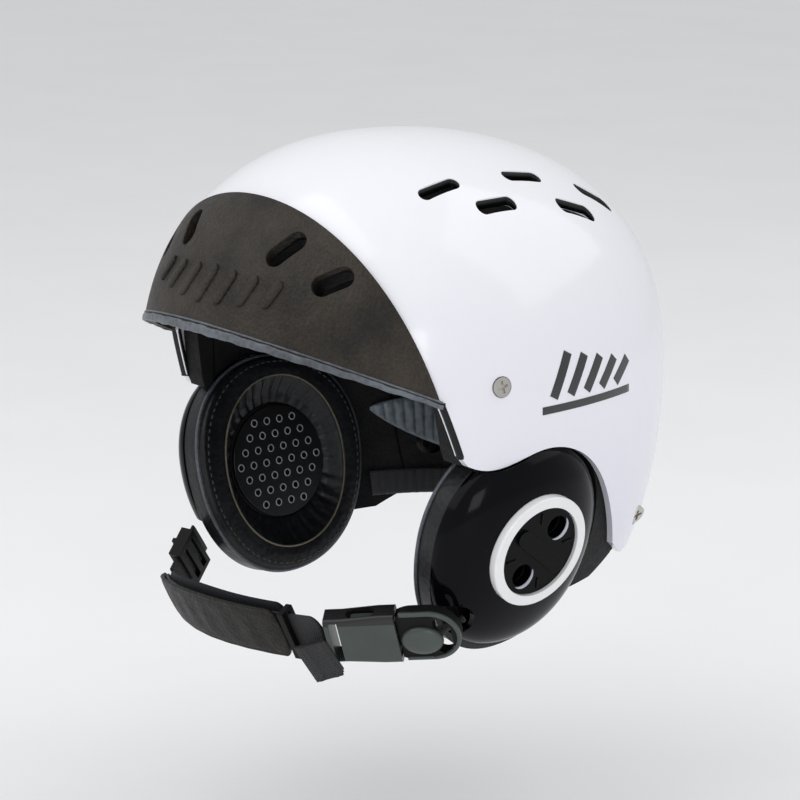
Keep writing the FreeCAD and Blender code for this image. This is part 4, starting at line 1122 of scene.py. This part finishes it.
def straps():
    """Straight link webbing on the right, and loop webbing on the left."""
    top = ANCHOR * np.array((-1, 1, 1))
    bottom = strap_point(np.array(-65.0))
    down = unit(bottom - top)
    length = np.linalg.norm(bottom - top)
    centres = top + down * np.linspace(0.5 * MM, length - 1.5 * MM, 60)[:, None]
    face = np.array((-0.9, -0.45, 0))
    outs = np.broadcast_to(unit(face - down * np.dot(face, down)), centres.shape)
    link = band("link_webbing", centres, outs, WEB_WIDTH, WEB_WALL, FINISH["webbing"])
    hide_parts("link_web")
    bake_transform(link)
    start, along, out = buckle_line()
    hole = start + along * 47.35 * MM - out * 3.5 * MM
    points = [ANCHOR + np.array((0, -0.4, 0)) * MM, ANCHOR + np.array((0.2, -2.0, 0.2)) * MM, hole]
    centres = bezier(points, 30)
    outs = np.broadcast_to(out, centres.shape)
    loop = band("loop_webbing", centres, outs, WEB_WIDTH - 1 * MM, WEB_WALL, FINISH["webbing"])
    finished(loop, "near_strap", ["loop_web"])


def on_buckle(local):
    """Points given as along, across and outward in the buckle's own frame."""
    start, along, out = buckle_line()
    across = np.cross(out, along)
    return start + local[..., :1] * along + local[..., 1:2] * across + local[..., 2:] * out


def buckle_trim():
    """Raised rim round the ring's D shape, and the smooth dome of the button."""
    bend = np.linspace(np.pi / 2, -np.pi / 2, 40)
    straight = np.linspace(31.0, 42.0, 14)
    x = np.concatenate([straight, 42.0 + 11.6 * np.cos(bend), straight[::-1]]) * MM
    y = np.concatenate([np.full(14, 11.6), 11.6 * np.sin(bend), np.full(14, -11.6)]) * MM
    centres = on_buckle(np.stack([x, y, np.full_like(x, 2.0 * MM)], axis=-1))
    outs = np.broadcast_to(buckle_line()[2], centres.shape)
    rim = band("buckle_ring_rim", centres, outs, 1.9 * MM, 2.4 * MM, FINISH["buckle"], 2.4, 16)
    finished(rim, "near_strap", ())
    turn = np.linspace(0, 2 * np.pi, 56, endpoint=False)[:, None]
    lift = np.linspace(-0.5, 1, 15)[None, :] * np.pi / 2
    reach = np.cos(lift).clip(0) ** 0.75
    x = 38.35 * MM + 8.8 * MM * reach * np.cos(turn)
    y = -2.0 * MM + 7.1 * MM * reach * np.sin(turn)
    z = 2.4 * MM + 3.0 * MM * np.sin(lift) + 0 * turn
    button = mesh_piece("buckle_button", on_buckle(np.stack([x, y, z], axis=-1)),
                        grid_faces(56, 15, round_rows=True), None, FINISH["buckle"])
    finished(button, "near_strap", ())


def web_tail():
    """Loose end of the webbing: three folded layers, each a little shorter, with a raised
    line down both edges."""
    start, along, out = buckle_line()
    across = unit(np.cross(along, out))
    hang = unit(across + along * 0.30)

    def ribs(_, share):
        return 0.35 * MM * np.abs(np.sin(share * 8)) ** 0.7
    for k in range(TAIL_LAYERS):
        top = start + (-along * (9 - 1.3 * k) + out * (2.2 + 1.25 * k) + across * (2 - k)) * MM
        centres = top + hang * np.linspace(0, 20 - 1.8 * k, 26)[:, None] * MM
        outs = np.broadcast_to(out, centres.shape)
        layer = band("web_tail_fold_%d" % (k + 1), centres, outs, 12.5 * MM, 1.1 * MM,
                     FINISH["webbing"], 4.0, 40, ribs)
        finished(layer, "chin_strap", ["web_tail"] if k == 0 else ())


def two_tone_buckle():
    """Buckle plastic whose upper side is black: the place across the buckle, a dot
    product with its own direction, picks the colour at a sharp step."""
    material = moulded_plastic("buckle_two_tone", MATTE_GREY, *BUCKLE_GLOSS)
    nodes, links = material.node_tree.nodes, material.node_tree.links
    shader = nodes["Principled BSDF"]
    start, along, out = buckle_line()
    across = np.cross(out, along)
    place = nodes.new("ShaderNodeVectorMath")
    place.operation = "DOT_PRODUCT"
    place.inputs[1].default_value = tuple(across)
    links.new(coordinates(nodes), place.inputs[0])
    step = nodes.new("ShaderNodeMapRange")
    edge = float(np.dot(start, across)) + 8.6 * MM
    step.inputs["From Min"].default_value = edge
    step.inputs["From Max"].default_value = edge + 0.15 * MM
    links.new(place.outputs["Value"], step.inputs["Value"])
    drift = noise(nodes, links, coordinates(nodes), 38.0, 4.0)
    grey = ramp(nodes, links, drift, [(0.3, (0.030, 0.039, 0.034)), (0.7, (0.050, 0.065, 0.058))])
    black = ramp(nodes, links, drift, [(0.3, (0.004, 0.004, 0.004)), (0.7, (0.008, 0.008, 0.008))])
    mix = nodes.new("ShaderNodeMixRGB")
    links.new(step.outputs["Result"], mix.inputs["Fac"])
    links.new(grey, mix.inputs["Color1"])
    links.new(black, mix.inputs["Color2"])
    links.new(mix.outputs["Color"], shader.inputs["Base Color"])
    return material


FINISH["two_tone"] = two_tone_buckle()


# ---- Put the helmet together -------------------------------------------------------------

HARD = {
    "outer_shell": ("shell", 30, 0.5), "peak": ("peak", 34, 0.9),
    "liner_crown": ("foam", 30, 0.8), "liner_front": ("foam", 30, 0.8),
    "liner_left": ("foam", 30, 0.8), "liner_right": ("foam", 30, 0.8),
    "liner_rear": ("foam", 30, 0.8),
    "side_screws": ("steel", 30, 0.12), "rear_screws": ("steel", 30, 0.12),
    "tee_nuts": ("steel", 30, 0.15),
    "buckle_male": ("black", 30, 0.5), "buckle_female": ("two_tone", 30, 0.4),
    "prong_upper": ("buckle", 30, 0.35), "prong_lower": ("buckle", 30, 0.35),
    "web_keeper": ("black", 30, 0.3),
    "ladder_lock": ("black", 30, 0.4),
}
for hand in ("left", "right"):
    HARD["pod_casing_" + hand] = ("pod", 32, 0.35)
    HARD["pod_backplate_" + hand] = ("black", 30, 0.3)
    HARD["dial_ring_" + hand] = ("ring", 32, 0.2)
    HARD["vent_dial_" + hand] = ("dial", 30, 0.35)
    HARD["dial_seal_" + hand] = ("seal", 30, 0.1)
    HARD["ear_grille_" + hand] = ("grille", 30, 0.25)
    HARD["anchor_web_" + hand] = ("webbing", 30, 0.2)

for node, (finish, angle, edge) in HARD.items():
    joined_copy(node, FINISH[finish], angle, edge * MM)

for side in (1, -1):
    ear_pad(side)
    hand = hand_name(side)
    # The outer piping's light blue-grey is painted highlight.
    pad_line("ear_pad_piping_painted_highlight_" + hand, side, 0.0, 0.80, 1.6 * MM, FINISH["piping"])
    pad_line("ear_dish_piping_" + hand, side, 0.90, 0.95, 0.9 * MM, FINISH["beige"])
    stitches("ear_pad_stitching_" + hand, side, 0.28, 1.0, 3.2 * MM, FINISH["thread"])
    painted_glint_rings(side)
    temple_trim(side)
    pod_disc("vent_foam_" + hand, side, 27 * MM, -3.9 * MM, -0.5 * MM, DISH_MIDDLE,
             FINISH["vent_foam"])
    dial_trim(side)
    side_graphic(side)
vent_painted_shade_sleeves()
nape_pad()
nape_elastic()
brow_pad()
peak_lip()
peak_bars()
chin_pads()
chin_web()
straps()
buckle_trim()
web_tail()


# ---- Floor, light and camera -------------------------------------------------------------

def studio():
    """Pale floor, a large soft light above and to the left, a fill, and a pale room."""
    room_below = 85 * MM  # the chin strap swings down into it
    level = CAD_BOX[0][2] - room_below
    reach = 3.0
    corners = np.array([(x, y, level) for x, y in ((-reach, -reach), (reach, -reach),
                                                   (reach, reach), (-reach, reach))])
    pale, nodes, links, shader = new_material("studio_floor", (0.93, 0.93, 0.935), 0.7)
    speckle = noise(nodes, links, coordinates(nodes), 9.0, 3.0)
    links.new(ramp(nodes, links, speckle, [(0.3, (0.92, 0.92, 0.925)), (0.7, (0.94, 0.94, 0.945))]),
              shader.inputs["Base Color"])
    floor = mesh_piece("studio_floor", corners, np.array([[0, 1, 2, 3]]), None, pale, False)
    world = bpy.data.worlds.new("room")
    bpy.context.scene.world = world
    world.use_nodes = True
    sky = world.node_tree.nodes["Background"]
    sky.inputs["Color"].default_value = (0.97, 0.98, 1.0, 1)
    sky.inputs["Strength"].default_value = 0.66
    bpy.context.scene.view_settings.view_transform = "Standard"
    lamp((-0.35, -0.85, 1.05), 1.5, 8.0)
    lamp((1.2, -0.7, 0.35), 0.5, 2.5)
    lamp((0.5, 0.8, 1.0), 1.2, 3.5)


def lamp(place, size, power):
    """Square soft light that looks at the helmet."""
    light = bpy.data.lights.new("soft_light", "AREA")
    light.size = size
    light.energy = power
    holder = bpy.data.objects.new("soft_light", light)
    holder.location = place
    aim = Vector((0, 0, 0.05)) - Vector(place)
    holder.rotation_euler = aim.to_track_quat("-Z", "Y").to_euler()
    bpy.context.scene.collection.objects.link(holder)


def camera():
    """Eye level a little above the helmet, off its left front."""
    azimuth, elevation = math.radians(50.0), math.radians(14.0)
    level = math.cos(elevation)
    back = Vector((math.sin(azimuth) * level, -math.cos(azimuth) * level, math.sin(elevation)))
    right = Vector((math.cos(azimuth), math.sin(azimuth), 0))
    up = back.cross(right)
    distance = 1.3
    target = Vector((0, 0.0018, 0.058))
    eye = target + right * 0.00336 - up * 0.0231 + back * distance
    data = bpy.data.cameras.new("view")
    data.lens = 139.3
    data.sensor_width = 36
    holder = bpy.data.objects.new("view", data)
    holder.location = eye
    holder.rotation_euler = back.to_track_quat("Z", "Y").to_euler()
    bpy.context.scene.collection.objects.link(holder)
    bpy.context.scene.camera = holder


studio()
camera()
